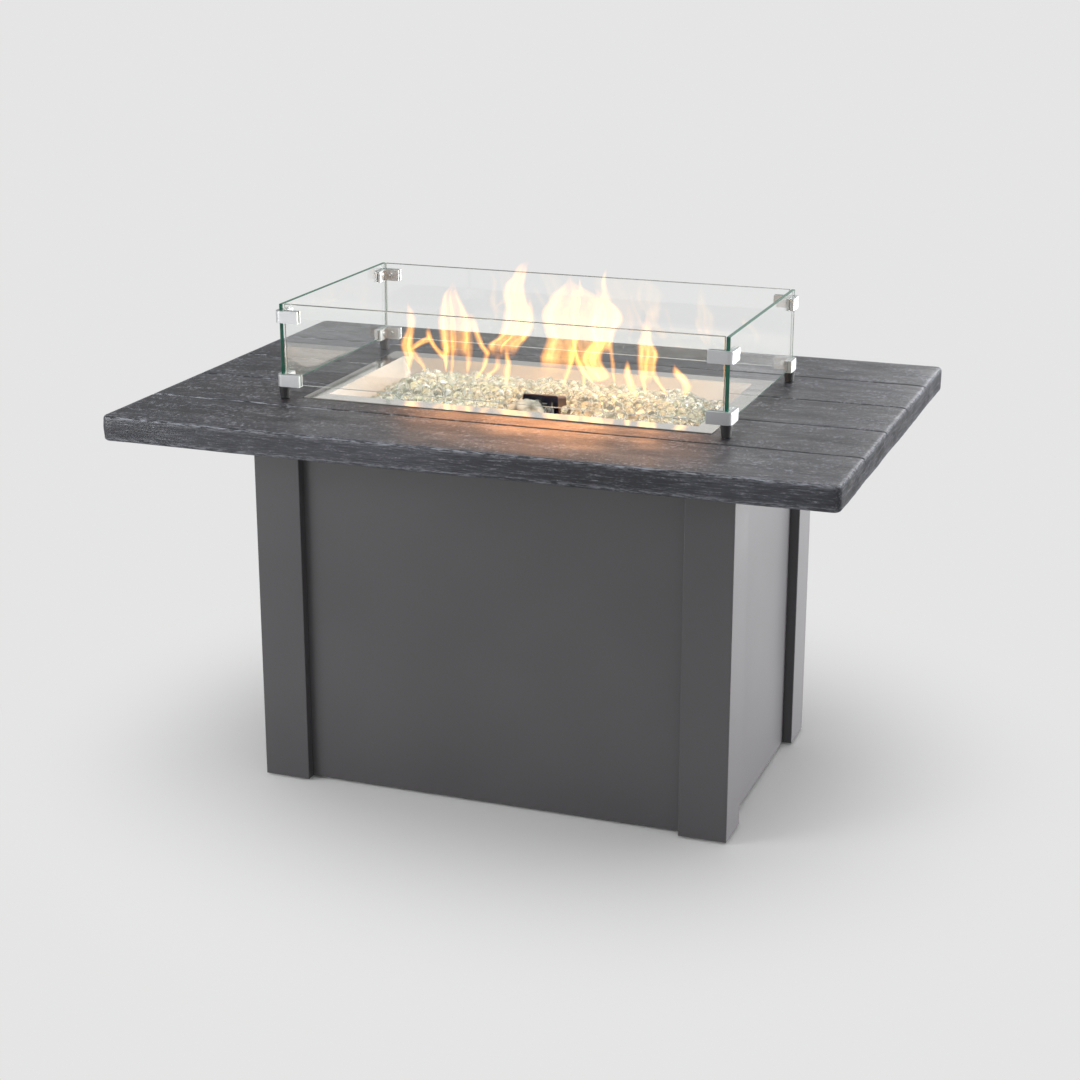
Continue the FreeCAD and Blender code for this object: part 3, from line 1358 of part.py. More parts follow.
def clamp_screw_places():
    # Two set screws a clamp, through the inner wall onto the glass.
    reach = size("clamp_leg") - size("clamp_wall") - size("clamp_screw_inset")
    inner = size("guard_glass") + size("clamp_inner_wall")
    places = []
    for corner, (sign_x, sign_y) in CORNERS.items():
        for place in ("lower", "upper"):
            low = float(sheet.evalExpression(clamp_levels(corner)[place]))
            z = low + size("clamp_height") / 2 + 1
            x = sign_x * (size("guard_length") / 2 - reach)
            y = sign_y * (size("guard_depth") / 2 - inner)
            places.append((Vector(x, y, z), Vector(0, -sign_y, 0)))
            x = sign_x * (size("guard_length") / 2 - inner)
            y = sign_y * (size("guard_depth") / 2 - reach)
            places.append((Vector(x, y, z), Vector(-sign_x, 0, 0)))
    return places


def make_clamp_screws():
    screws = []
    for place, outward in clamp_screw_places():
        height = size("clamp_screw_height")
        head = Part.makeCone(size("clamp_screw_base_radius"), size("clamp_screw_top_radius"), height,
                             place, outward)
        socket = hexagon(size("clamp_socket_flat"), height, place + outward * (height / 2), outward)
        screws.append(head.cut(socket))
    made_shape("clamp_screws", Part.makeCompound(screws))


def make_guard_feet():
    # A tapered rubber foot under each lower clamp.
    top_radius = size("guard_foot_top_radius")
    base_radius = size("guard_foot_base_radius")
    height = size("guard_foot_height")
    rim_gap = 0.6
    bevel = 0.8
    inset = top_radius + rim_gap - size("clamp_wall")
    feet = []
    for sign_x, sign_y in CORNERS.values():
        x = sign_x * (size("guard_length") / 2 - inset)
        y = sign_y * (size("guard_depth") / 2 - inset)
        outline_points = [(0, CLEAR), (base_radius - bevel, CLEAR), (base_radius, CLEAR + bevel),
                          (top_radius, height), (0, height)]
        points = [Vector(x + along, y, size("table_height") + z) for along, z in outline_points]
        profile = Part.Face(Part.makePolygon(points + [points[0]]))
        feet.append(profile.revolve(Vector(x, y, 0), UP, 360))
    made_shape("guard_feet", Part.makeCompound(feet))


# Assembly

make_table_top()
for corner_name in CORNERS:
    make_leg(corner_name)
make_leveling_feet()
make_front_panel()
make_end_panel("panel_right", 1)
make_end_panel("panel_left", -1, control_window=True)
make_long_rail("rail_front", -1)
make_long_rail("rail_rear", 1)
make_side_rail("rail_left", -1)
make_side_rail("rail_right", 1)
make_slab_screws()
make_tank_tray()
make_rear_sill()
make_rear_header()
make_heat_shield()
make_door()
make_door_fasteners(make_door_knob())
make_hinges()
make_catch()
make_burner_pan()
make_burner_tube()
make_fire_glass()
make_igniter_hood()
make_pilot_parts()
make_air_mixer()
make_control_plate()
make_plate_screws()
make_gas_valve()
make_gas_inlet()
make_knob_parts()
make_igniter()
make_gas_tube()
make_guard_glass()
for corner_name in CORNERS:
    make_clamp(corner_name, "lower")
    make_clamp(corner_name, "upper")
make_guard_feet()
make_clamp_screws()

doc.recompute()
for item in doc.Objects:
    if "Invalid" in item.State or "Error" in item.State:
        raise RuntimeError(f"{item.Name} did not build: {item.State}")
os.makedirs("parts", exist_ok=True)
for part in sub_parts:
    if part.Shape.isNull() or not part.Shape.isValid():
        raise RuntimeError(f"{part.Label} has no valid shape")
    part.Shape.exportStep(f"parts/{part.Label}.step")
    print(part.Label, len(part.Shape.Solids), round(part.Shape.Volume / 1000, 2))
print(len(sub_parts), "sub-parts")
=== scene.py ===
# A gas fire pit table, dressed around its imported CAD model. Metres, +Z up, front towards -Y.
import math

import bmesh
import bpy
import numpy as np
from mathutils import Matrix, Vector, noise


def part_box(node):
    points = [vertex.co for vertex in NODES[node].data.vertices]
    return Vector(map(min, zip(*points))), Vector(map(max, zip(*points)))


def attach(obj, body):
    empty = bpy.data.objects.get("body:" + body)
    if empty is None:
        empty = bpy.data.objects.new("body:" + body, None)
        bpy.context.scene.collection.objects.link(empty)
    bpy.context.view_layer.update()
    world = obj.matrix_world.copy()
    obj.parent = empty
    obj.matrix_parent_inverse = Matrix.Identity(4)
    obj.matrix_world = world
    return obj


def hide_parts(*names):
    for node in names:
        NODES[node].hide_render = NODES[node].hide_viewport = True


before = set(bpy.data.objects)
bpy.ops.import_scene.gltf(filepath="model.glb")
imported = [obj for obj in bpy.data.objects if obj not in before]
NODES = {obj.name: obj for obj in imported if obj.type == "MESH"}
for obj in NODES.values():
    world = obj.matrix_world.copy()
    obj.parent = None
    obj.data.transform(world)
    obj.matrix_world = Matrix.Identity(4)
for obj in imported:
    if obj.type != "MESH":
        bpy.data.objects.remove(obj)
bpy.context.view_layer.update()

# The photograph's view: a camera fitted to the corners of the top, the base and the wind guard
VIEW_AZIMUTH = 20.11
VIEW_ELEVATION = 17.37
VIEW_PLACE = Vector((1.1181, -3.0600, 1.3833))
VIEW_LENS = 71.394

# Light and surroundings
BACKDROP = (0.784, 0.784, 0.784)
FLOOR_COLOUR = (0.85, 0.85, 0.85)
FLOOR_RADIUS = 40.0
FLOOR_FADE_START = 0.3
FLOOR_FADE_END = 0.95
SKY_STRENGTH = 0.55
# What glossy surfaces mirror: a room that is darker at the left than at the right
SKY_LEFT = 0.38
SKY_RIGHT = 1.50
SKY_LEFT_END = -0.45
SKY_RIGHT_END = 0.40

# The cast top
TOP_LOW, TOP_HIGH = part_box("table_top")
TABLE_LEVEL = TOP_HIGH.z
PLANKS = 5
CUTOUT_HALF = Vector((0.302, 0.151))
EDGE_ROUND = 0.005
CORNER_ROUND = 0.012
CORNER_STEPS = (1.0, 0.66, 0.33)
GROOVE_HALF = 0.0026
GROOVE_DEPTH = 0.0032
GRID_X = 0.008
GRID_Y = 0.005
# The grooves have painted shade, darkest at the right, and broken painted light at the left, with a change
# between these two places
GROOVE_LIGHT_X = -0.23
GROOVE_DARK_X = 0.02

# The burner
PAN_LOW, PAN_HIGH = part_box("burner_pan")
# Width of the thin painted shadow on the top along the burner's flange
FLANGE_SHADOW_WIDTH = 0.0022
BED_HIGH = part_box("fire_glass")[1]
HOOD_LOW, HOOD_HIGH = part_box("igniter_hood")
HOOD_CENTRE_X = (HOOD_LOW.x + HOOD_HIGH.x) / 2
HOOD_SLOPE = 8 / 36
HOOD_SHEET = 0.0014
HOOD_HALF_INSIDE = (HOOD_HIGH.x - HOOD_LOW.x) / 2 - HOOD_SHEET
HOOD_ROOF_INSIDE = HOOD_HIGH.z - HOOD_SHEET

# The beads and their bed
BEAD_RADIUS = 0.0092
BEAD_SIDES = 12
BEAD_RINGS = 8
BED_EDGE_DROP = 0.026
BED_SLOPE_WIDTH = 0.075
BED_FLOOR = PAN_LOW.z + 0.0025
BED_GRID = (90, 42)
HEAP_PLACE = (0.010, -0.094)
HEAP_SPREAD = (0.032, 0.018)
HEAP_RISE = 0.024

# The flames: full and yellow at their feet, thin and pale above
FLAME_FEET = TABLE_LEVEL + 0.05
FLAME_HEADS = TABLE_LEVEL + 0.13
FLAME_FULL = 0.62
FLAME_THIN = 0.31
FLAME_GLOW = 2.7
FLAME_ROWS = 40
FLAME_COLUMNS = 16
FLAME_EDGE = 0.0075
FLAME_LIGHT = (1.0, 0.50, 0.18)
SHEEN_COLOUR = (1.0, 0.39, 0.13)
CROSS_SHARE = 0.5

# The flames' bodies as the top mirrors them: place along the bed, width, height and power
SHEENS = [(-0.225, 0.03, 0.10, 0.04), (-0.165, 0.06, 0.12, 0.12), (-0.075, 0.07, 0.15, 0.25),
          (0.035, 0.14, 0.14, 0.52), (0.165, 0.05, 0.10, 0.10), (0.235, 0.02, 0.05, 0.02)]

# The wind guard
PANES = ("glass_front", "glass_rear", "glass_left", "glass_right")


# Node trees

class Shader:
    """One material's node tree, built by short calls.

    A value may be a number, a colour or another node's socket.
    """

    def __init__(self, name):
        self.material = bpy.data.materials.new(name)
        self.material.use_nodes = True
        self.tree = self.material.node_tree
        self.tree.nodes.clear()
        self.out = self.tree.nodes.new("ShaderNodeOutputMaterial")
        self._place = None

    def put(self, socket, value):
        if isinstance(value, bpy.types.NodeSocket):
            self.tree.links.new(value, socket)
        elif isinstance(value, (tuple, list)) and socket.type == "RGBA" and len(value) == 3:
            socket.default_value = (*value, 1.0)
        else:
            socket.default_value = value

    def node(self, kind, settings=None, **values):
        made = self.tree.nodes.new("ShaderNode" + kind)
        for key, value in (settings or {}).items():
            setattr(made, key, value)
        for key, value in values.items():
            self.put(made.inputs[key.replace("_", " ")], value)
        return made

    def place(self):
        if self._place is None:
            self._place = self.node("TexCoord").outputs["Object"]
        return self._place

    def stretched(self, scale, turn=(0.0, 0.0, 0.0)):
        mapping = self.node("Mapping", Vector=self.place(), Scale=scale, Rotation=turn)
        return mapping.outputs["Vector"]

    def noise(self, scale, detail=3.0, roughness=0.5, turn=(0.0, 0.0, 0.0)):
        made = self.node("TexNoise", Vector=self.stretched(scale, turn), Scale=1.0, Detail=detail,
                         Roughness=roughness)
        return made.outputs["Fac"]

    def math(self, operation, first, second=0.5, third=0.5, clamp=False):
        made = self.node("Math", {"operation": operation, "use_clamp": clamp})
        for number, value in enumerate((first, second, third)):
            self.put(made.inputs[number], value)
        return made.outputs["Value"]

    def span(self, value, low, high, to_low=0.0, to_high=1.0, smooth=False):
        kind = "SMOOTHSTEP" if smooth else "LINEAR"
        made = self.node("MapRange", {"interpolation_type": kind}, Value=value)
        for name, number in (("From Min", low), ("From Max", high), ("To Min", to_low), ("To Max", to_high)):
            made.inputs[name].default_value = number
        return made.outputs["Result"]

    def mix(self, share, first, second):
        made = self.node("Mix", {"data_type": "RGBA"})
        self.put(made.inputs["Factor"], share)
        for socket, value in zip([s for s in made.inputs if s.type == "RGBA"], (first, second)):
            self.put(socket, value)
        return [s for s in made.outputs if s.type == "RGBA"][0]

    def ramp(self, value, stops):
        made = self.node("ValToRGB", Fac=value)
        points = made.color_ramp.elements
        while len(points) < len(stops):
            points.new(0.5)
        for point, (place, colour) in zip(points, stops):
            point.position = place
            point.color = (*colour, 1.0)
        return made.outputs["Color"]

    def chain(self, operation, values):
        total = values[0]
        for value in values[1:]:
            total = self.math(operation, total, value)
        return total

    def times(self, *values):
        return self.chain("MULTIPLY", values)

    def plus(self, *values):
        return self.chain("ADD", values)

    def most(self, *values):
        return self.chain("MAXIMUM", values)

    def place_along(self, axis):
        return self.node("SeparateXYZ", Vector=self.place()).outputs[axis]

    def normal_along(self, axis):
        return self.node("SeparateXYZ", Vector=self.node("NewGeometry").outputs["Normal"]).outputs[axis]

    def bump(self, height, distance, strength=1.0):
        return self.node("Bump", Height=height, Distance=distance, Strength=strength).outputs["Normal"]

    def attribute(self, name):
        return self.node("Attribute", {"attribute_name": name}).outputs["Fac"]

    def blend(self, share, first, second):
        made = self.node("MixShader")
        for number, value in enumerate((share, first, second)):
            self.put(made.inputs[number], value)
        return made.outputs[0]

    def show(self, surface):
        self.tree.links.new(surface, self.out.inputs["Surface"])
        return self.material

    def principled(self, **values):
        made = self.node("BsdfPrincipled", **values)
        return made.outputs["BSDF"]


def soft_rays(shader):
    # 1 for the rays that lamps and soft light send through glass, so that what is behind it is lit.
    path = shader.node("LightPath").outputs
    return shader.most(path["Is Shadow Ray"], path["Is Diffuse Ray"])


def seen_rays(shader):
    path = shader.node("LightPath").outputs
    return shader.most(path["Is Camera Ray"], path["Is Glossy Ray"], path["Is Transmission Ray"])


def shade(colour, share):
    return tuple(share * part for part in colour)


# Materials

def cast_stone():
    # Stone cast in a wooden mould: fine grain along the planks, light where it is worn, painted shade in the
    # grooves and painted light in their left part.
    s = Shader("cast_stone")
    upright = s.math("SUBTRACT", 1.0, s.math("ABSOLUTE", s.normal_along("Z")), clamp=True)
    flat = s.math("SUBTRACT", 1.0, upright, clamp=True)
    endwise = s.span(s.math("ABSOLUTE", s.normal_along("X")), 0.5, 0.8)

    # On the end faces the grain slants, as on a sawn board.
    broad = s.noise((3.0, 16.0, 16.0), detail=4)
    along = s.noise((30.0, 420.0, 420.0), detail=6, roughness=0.7)
    slanted = s.noise((260.0, 22.0, 260.0), detail=6, roughness=0.7, turn=(math.radians(38), 0.0, 0.0))
    grain = s.plus(s.times(along, s.math("SUBTRACT", 1.0, endwise)), s.times(slanted, endwise))
    speck = s.noise((220.0, 900.0, 900.0), detail=3, roughness=0.7)
    fine = s.noise((190.0, 150.0, 150.0), detail=4, roughness=0.8)
    cloud = s.noise((16.0, 60.0, 60.0), detail=5, roughness=0.7)
    rubbed = s.noise((60.0, 420.0, 420.0), detail=5, roughness=0.7)
    tone = s.plus(s.times(broad, 0.5), s.times(grain, 0.5))
    base = s.ramp(tone, [(0.34, (0.008, 0.009, 0.012)), (0.50, (0.021, 0.022, 0.028)),
                         (0.68, (0.052, 0.055, 0.068))])
    # Painted shade: the end faces are painted darker, and get fewer light streaks below.
    shaded = s.mix(s.times(endwise, 0.3), base, (0.008, 0.008, 0.010))

    # Light streaks on the sides, light dots on the flat, light wear along edges, and painted light in the
    # grooves at the left
    streaks = s.times(s.span(grain, 0.52, 0.66), s.span(speck, 0.46, 0.60))
    sides = s.times(upright, s.math("SUBTRACT", 0.54, s.times(endwise, 0.12)))
    dots = s.times(s.span(fine, 0.51, 0.60), s.span(cloud, 0.42, 0.58))
    marks = s.plus(s.times(streaks, sides), s.times(dots, flat, 0.56))
    # The wear attribute carries real edge wear and, in the grooves at the left, painted light.
    worn_and_lit = s.times(s.attribute("wear"), s.span(rubbed, 0.46, 0.58))
    light = s.math("MAXIMUM", marks, worn_and_lit, clamp=True)
    colour = s.mix(light, shaded, (0.36, 0.375, 0.42))

    # Painted shade: the grooves, and a thin painted shadow on the top along the burner's flange, are dark.
    from_flange = s.most(s.math("SUBTRACT", s.math("ABSOLUTE", s.place_along("X")), PAN_HIGH.x),
                         s.math("SUBTRACT", s.math("ABSOLUTE", s.place_along("Y")), PAN_HIGH.y))
    flange_shadow = s.times(s.math("LESS_THAN", from_flange, FLANGE_SHADOW_WIDTH), 0.95)
    dark = s.most(s.times(s.attribute("groove"), 0.9), flange_shadow)
    colour = s.mix(dark, colour, (0.006, 0.006, 0.007))

    relief = s.plus(s.times(grain, 0.6), s.times(speck, 0.4), fine)
    polish = s.span(s.noise((9.0, 26.0, 26.0), detail=5, roughness=0.65), 0.35, 0.65, 0.30, 0.48)
    dull = s.plus(s.times(light, 0.2), s.times(s.most(endwise, flange_shadow), 0.35))
    gloss = s.math("MULTIPLY_ADD", endwise, -0.20, 0.36)
    return s.show(s.principled(Base_Color=colour, Roughness=s.plus(polish, dull), Specular_IOR_Level=gloss,
                               Normal=s.bump(relief, 0.0008, 0.8)))


def powder_coat():
    s = Shader("powder_coat")
    colour = (0.066, 0.064, 0.068)
    peel = s.noise((900.0, 900.0, 900.0), detail=2)
    cloud = s.noise((4.0, 4.0, 4.0), detail=2)
    tint = s.mix(s.span(cloud, 0.3, 0.7), shade(colour, 0.94), shade(colour, 1.05))
    rough = s.span(cloud, 0.3, 0.7, 0.30, 0.35)
    return s.show(s.principled(Base_Color=tint, Roughness=rough, Normal=s.bump(peel, 0.0001, 0.25)))


def brushed_metal(name, colour, roughness, scale=(300.0, 300.0, 300.0), metallic=1.0, stain=0.08):
    s = Shader(name)
    lines = s.noise(scale, detail=4, roughness=0.6)
    cloud = s.noise((9.0, 9.0, 9.0), detail=3)
    tint = s.mix(s.span(cloud, 0.3, 0.7), shade(colour, 1 - stain), colour)
    rough = s.plus(s.span(lines, 0.3, 0.7, -0.05, 0.05),
                   s.span(cloud, 0.3, 0.7, roughness - 0.03, roughness + 0.03))
    return s.show(s.principled(Base_Color=tint, Roughness=rough, Metallic=metallic,
                               Normal=s.bump(lines, 0.00005, 0.3)))


def pan_steel():
    # Brushed stainless steel: its flat flange mirrors, its walls are satin.
    s = Shader("pan_steel")
    flat = s.span(s.normal_along("Z"), 0.8, 0.95)
    lines = s.noise((8.0, 600.0, 600.0), detail=4, roughness=0.6)
    cloud = s.noise((9.0, 9.0, 9.0), detail=3)
    walls = s.mix(s.span(cloud, 0.3, 0.7), (0.50, 0.48, 0.44), (0.56, 0.54, 0.50))
    tint = s.mix(flat, walls, (0.66, 0.63, 0.59))
    rough = s.plus(s.span(lines, 0.3, 0.7, -0.03, 0.03), s.math("MULTIPLY_ADD", flat, -0.12, 0.23))
    return s.show(s.principled(Base_Color=tint, Roughness=rough,
                               Metallic=s.math("MULTIPLY_ADD", flat, 0.28, 0.70),
                               Normal=s.bump(lines, 0.00005, 0.3)))


def plastic(name, colour, roughness):
    s = Shader(name)
    speck = s.noise((700.0, 700.0, 700.0), detail=2)
    cloud = s.noise((30.0, 30.0, 30.0), detail=2)
    tint = s.mix(cloud, shade(colour, 0.85), shade(colour, 1.15))
    rough = s.span(cloud, 0.3, 0.7, roughness - 0.04, roughness + 0.04)
    return s.show(s.principled(Base_Color=tint, Roughness=rough, Normal=s.bump(speck, 0.00008, 0.3)))


def pane_glass():
    s = Shader("pane_glass")
    smear = s.noise((14.0, 14.0, 30.0), detail=3)
    glass = s.principled(Base_Color=(0.985, 0.997, 0.99), Roughness=s.span(smear, 0.45, 0.75, 0.0, 0.03),
                         Transmission_Weight=1.0, IOR=1.5)
    clear = s.node("BsdfTransparent", Color=(0.93, 0.96, 0.945)).outputs[0]
    return s.show(s.blend(soft_rays(s), glass, clear))


def glass_edge(name, colour, through):
    s = Shader(name)
    cloud = s.noise((30.0, 30.0, 90.0), detail=2)
    tint = s.mix(s.span(cloud, 0.3, 0.7), shade(colour, 0.7), colour)
    edge = s.principled(Base_Color=tint, Roughness=0.12, Transmission_Weight=through, IOR=1.5)
    clear = s.node("BsdfTransparent", Color=(0.5, 0.7, 0.6)).outputs[0]
    return s.show(s.blend(soft_rays(s), edge, clear))


def painted_flame_light(s):
    # Where the bed is painted with the flames' warm light: patchy, most in its right and front part.
    reach = s.times(s.span(s.place_along("X"), -0.16, 0.06, 0.15, 1.0),
                    s.span(s.place_along("Y"), 0.03, -0.05, 0.25, 1.0))
    return s.times(reach, s.span(s.noise((26.0, 26.0, 26.0), detail=2), 0.36, 0.60, 0.3, 1.0))


def bead_glass():
    # Clear glass, mint where it is thick, and painted warm where the flames light it: painted flame light.
    s = Shader("bead_glass")
    tone = s.noise((55.0, 55.0, 55.0), detail=1)
    mint = s.ramp(tone, [(0.35, (0.88, 0.95, 0.92)), (0.5, (0.96, 0.99, 0.97)), (0.65, (0.99, 0.98, 0.96))])
    glass = s.principled(Base_Color=s.mix(s.times(painted_flame_light(s), 0.5), mint, (1.0, 0.92, 0.82)),
                         Roughness=0.0, Transmission_Weight=0.97, IOR=1.5)
    clear = s.node("BsdfTransparent", Color=(0.92, 0.95, 0.93)).outputs[0]
    return s.show(s.blend(s.times(soft_rays(s), 0.85), glass, clear))


def deep_beads():
    # The deeper beads: painted light on their tops, and painted shade in the gaps between them.
    s = Shader("deep_beads")
    depth = s.node("TexVoronoi", Vector=s.stretched((60.0, 60.0, 60.0)), Scale=1.0).outputs["Distance"]
    cool = s.ramp(depth, [(0.0, (0.94, 0.98, 0.93)), (0.40, (0.78, 0.81, 0.73)), (0.78, (0.18, 0.19, 0.16))])
    # Painted flame light: the same beads tinted warm where the flames light them
    flame_lit = s.ramp(depth, [(0.0, (1.0, 0.88, 0.72)), (0.40, (0.92, 0.72, 0.52)), (0.78, (0.26, 0.17, 0.10))])
    tint = s.mix(painted_flame_light(s), cool, flame_lit)
    return s.show(s.principled(Base_Color=tint, Roughness=0.3, Normal=s.bump(depth, 0.004, 1.0)))


def heat_tint():
    # The hood's steel: brown outside, blue inside.
    s = Shader("heat_tint")
    cloud = s.noise((35.0, 35.0, 35.0), detail=3)
    outside = s.ramp(cloud, [(0.35, (0.085, 0.035, 0.028)), (0.5, (0.12, 0.055, 0.040)),
                             (0.65, (0.20, 0.10, 0.05))])
    inside = s.ramp(cloud, [(0.35, (0.035, 0.022, 0.085)), (0.5, (0.07, 0.05, 0.16)),
                            (0.65, (0.09, 0.05, 0.10))])
    from_side = s.math("ABSOLUTE", s.math("SUBTRACT", s.place_along("X"), HOOD_CENTRE_X))
    over_roof = s.math("SUBTRACT", s.place_along("Z"), HOOD_ROOF_INSIDE)
    roof_fall = s.times(s.math("SUBTRACT", s.place_along("Y"), HOOD_LOW.y), -HOOD_SLOPE)
    under = s.times(s.math("LESS_THAN", from_side, HOOD_HALF_INSIDE),
                    s.math("LESS_THAN", over_roof, roof_fall))
    tint = s.mix(under, outside, inside)
    rough = s.span(cloud, 0.3, 0.7, 0.25, 0.4)
    return s.show(s.principled(Base_Color=tint, Roughness=rough, Metallic=0.85))


def flame():
    # Glowing gas adds its light to what is behind it and hides nothing.
    s = Shader("flame")
    wisp = s.span(s.noise((190.0, 190.0, 22.0), detail=3), 0.3, 0.7, 0.75, 1.15)
    full = s.span(s.place_along("Z"), FLAME_FEET, FLAME_HEADS, FLAME_FULL, FLAME_THIN)
    amount = s.math("MULTIPLY", s.times(s.attribute("gas_amount"), wisp), full, clamp=True)
    colour = s.ramp(s.attribute("gas_heat"), [(0.0, (1.0, 0.28, 0.025)), (0.45, (1.0, 0.40, 0.05)),
                                              (0.8, (1.0, 0.50, 0.09)), (1.0, (1.0, 0.60, 0.16))])
    both = s.node("AddShader")
    s.put(both.inputs[0], s.node("Emission", Color=colour, Strength=s.times(amount, FLAME_GLOW)).outputs[0])
    s.put(both.inputs[1], s.node("BsdfTransparent").outputs[0])
    material = s.show(both.outputs[0])
    material.cycles.emission_sampling = "NONE"
    return material


def floor_material():
    # Plain ground that catches the shadow near the table and fades into the backdrop farther out.
    s = Shader("floor")
    cloud = s.noise((1.5, 1.5, 1.5), detail=2)
    tint = s.mix(cloud, shade(FLOOR_COLOUR, 0.99), FLOOR_COLOUR)
    ground = s.node("BsdfDiffuse", Color=tint).outputs[0]
    backdrop = s.node("Emission", Color=BACKDROP, Strength=1.0).outputs[0]
    reach = s.node("VectorMath", {"operation": "LENGTH"})
    s.put(reach.inputs[0], s.place())
    faded = s.span(reach.outputs["Value"], FLOOR_FADE_START, FLOOR_FADE_END, smooth=True)
    return s.show(s.blend(s.times(faded, seen_rays(s)), ground, backdrop))


# Meshes

def add_object(name, mesh, material, replaces=()):
    mesh.materials.append(material)
    made = bpy.data.objects.new(name, mesh)
    bpy.context.scene.collection.objects.link(made)
    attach(made, "base")
    if replaces:
        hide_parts(*replaces)
    return made


def mesh_from(name, points, faces):
    mesh = bpy.data.meshes.new(name)
    mesh.from_pydata([tuple(p) for p in points], [], faces)
    mesh.validate()
    mesh.update()
    mesh.polygons.foreach_set("use_smooth", [True] * len(mesh.polygons))
    return mesh


def set_attributes(mesh, **attributes):
    for name, values in attributes.items():
        mesh.attributes.new(name, "FLOAT", "POINT").data.foreach_set("value", values)


# The cast top: a fine grid, so that its edges and grooves are worn in the mesh itself

def wave(place, scale, seed=0.0):
    # Smooth noise between -1 and 1.
    return noise.noise(Vector((place[0] * scale[0] + seed, place[1] * scale[1], place[2] * scale[2])))


def ease(value):
    value = min(1.0, max(0.0, value))
    return value * value * (3 - 2 * value)


def grid_lines(low, high, step, marks):
    # Even lines from low to high, which give way to the marks where they come close.
    lines = set()
    count = max(1, round((high - low) / step))
    for number in range(count + 1):
        lines.add(round(low + (high - low) * number / count, 6))
    ends = (round(low, 6), round(high, 6))
    kept = [line for line in lines if line in ends or all(abs(line - mark) > step * 0.45 for mark in marks)]
    return sorted(set(kept) | {round(mark, 6) for mark in marks})


def groove_places():
    plank = (TOP_HIGH.y - TOP_LOW.y) / PLANKS
    return [TOP_LOW.y + plank * number for number in range(1, PLANKS)]


def groove_share(x, y):
    # 0 away from a groove, 1 at its deepest line, which wanders and varies in width.
    best = 0.0
    for number, centre in enumerate(groove_places()):
        drift = 0.0009 * wave((x, 0, 0), (9, 1, 1), 7.3 * number)
        line = centre + drift + 0.0004 * wave((x, 0, 0), (60, 1, 1), number)
        half = GROOVE_HALF * (1.0 + 0.35 * wave((x, 0, 0), (25, 1, 1), 3.1 * number))
        best = max(best, 1.0 - abs(y - line) / half)
    return max(0.0, best)


def side_rows(thickness):
    # (inward offset, depth below the top, wear) of the rows down the slab's rounded edge and face.
    rows = []
    quarter = [math.radians(90 * step / 4) for step in range(5)]
    for step in range(1, 5):
        inset, depth = EDGE_ROUND * (1 - math.sin(quarter[step])), EDGE_ROUND * (1 - math.cos(quarter[step]))
        rows.append((inset, depth, 0.75 - 0.3 * abs(step - 2)))
    face = thickness - 2 * EDGE_ROUND
    for step in range(1, 7):
        rows.append((0.0, EDGE_ROUND + face * step / 7, 0.0))
    for step in range(5):
        inset, rise = EDGE_ROUND * (1 - math.cos(quarter[step])), EDGE_ROUND * (1 - math.sin(quarter[step]))
        rows.append((inset, thickness - rise, 0.35 if step < 3 else 0.0))
    return rows


def rounded_corner(x, y, half_x, half_y, radius):
    # Draws a point of a rectangle's corner square in onto its round.
    in_x, in_y = abs(x) - (half_x - radius), abs(y) - (half_y - radius)
    if in_x <= 0 or in_y <= 0:
        return x, y
    u, v = in_x / radius, in_y / radius
    new_x = half_x - radius + radius * u * math.sqrt(1 - v * v / 2)
    new_y = half_y - radius + radius * v * math.sqrt(1 - u * u / 2)
    return math.copysign(new_x, x), math.copysign(new_y, y)


class Slab:
    """The cast top's mesh while it is built, with how much each point is rubbed or painted light, and how
    much painted shade it has in a groove.
    """

    def __init__(self):
        self.points, self.wear, self.groove, self.faces = [], [], [], []

    def add(self, x, y, z, worn_and_lit=0.0, groove_shade=0.0):
        self.points.append((x, y, z))
        self.wear.append(worn_and_lit)
        self.groove.append(groove_shade)
        return len(self.points) - 1


def upper_face(slab, xs, ys, half_x, half_y):
    # A grid with the cut-out left open. Returns the number of the point at each grid place.
    index = {}
    for i, x in enumerate(xs):
        for j, y in enumerate(ys):
            if abs(x) < CUTOUT_HALF.x - 1e-6 and abs(y) < CUTOUT_HALF.y - 1e-6:
                continue
            px, py = rounded_corner(x, y, half_x, half_y, CORNER_ROUND - EDGE_ROUND)
            share = groove_share(px, py)
            edge = min(half_x - abs(px), half_y - abs(py))
            wavy = 0.00035 * wave((px, py, 0), (5, 14, 1)) - 0.0006 * max(0.0, 1 - edge / 0.012)
            worn_and_lit = max(0.0, 1 - edge / 0.003) * 0.5
            # Painted light and shade in the grooves: broken painted light at the left, and painted shade that
            # is darkest at the right.
            left = ease((GROOVE_DARK_X - px) / (GROOVE_DARK_X - GROOVE_LIGHT_X))
            painted_light = 1.8 * left if share > 0.0 and wave((px, py, 0), (22, 60, 1), 2.0) > -0.2 else 0.0
            level = TABLE_LEVEL + wavy - GROOVE_DEPTH * share ** 0.8
            index[i, j] = slab.add(px, py, level, max(worn_and_lit, painted_light), share * (1 - 0.75 * left))
    for i in range(len(xs) - 1):
        for j in range(len(ys) - 1):
            loop = [index.get(key) for key in ((i, j), (i + 1, j), (i + 1, j + 1), (i, j + 1))]
            middle_x, middle_y = (xs[i] + xs[i + 1]) / 2, (ys[j] + ys[j + 1]) / 2
            inside = abs(middle_x) < CUTOUT_HALF.x and abs(middle_y) < CUTOUT_HALF.y
            if None not in loop and not inside:
                slab.faces.append(loop)
    return index


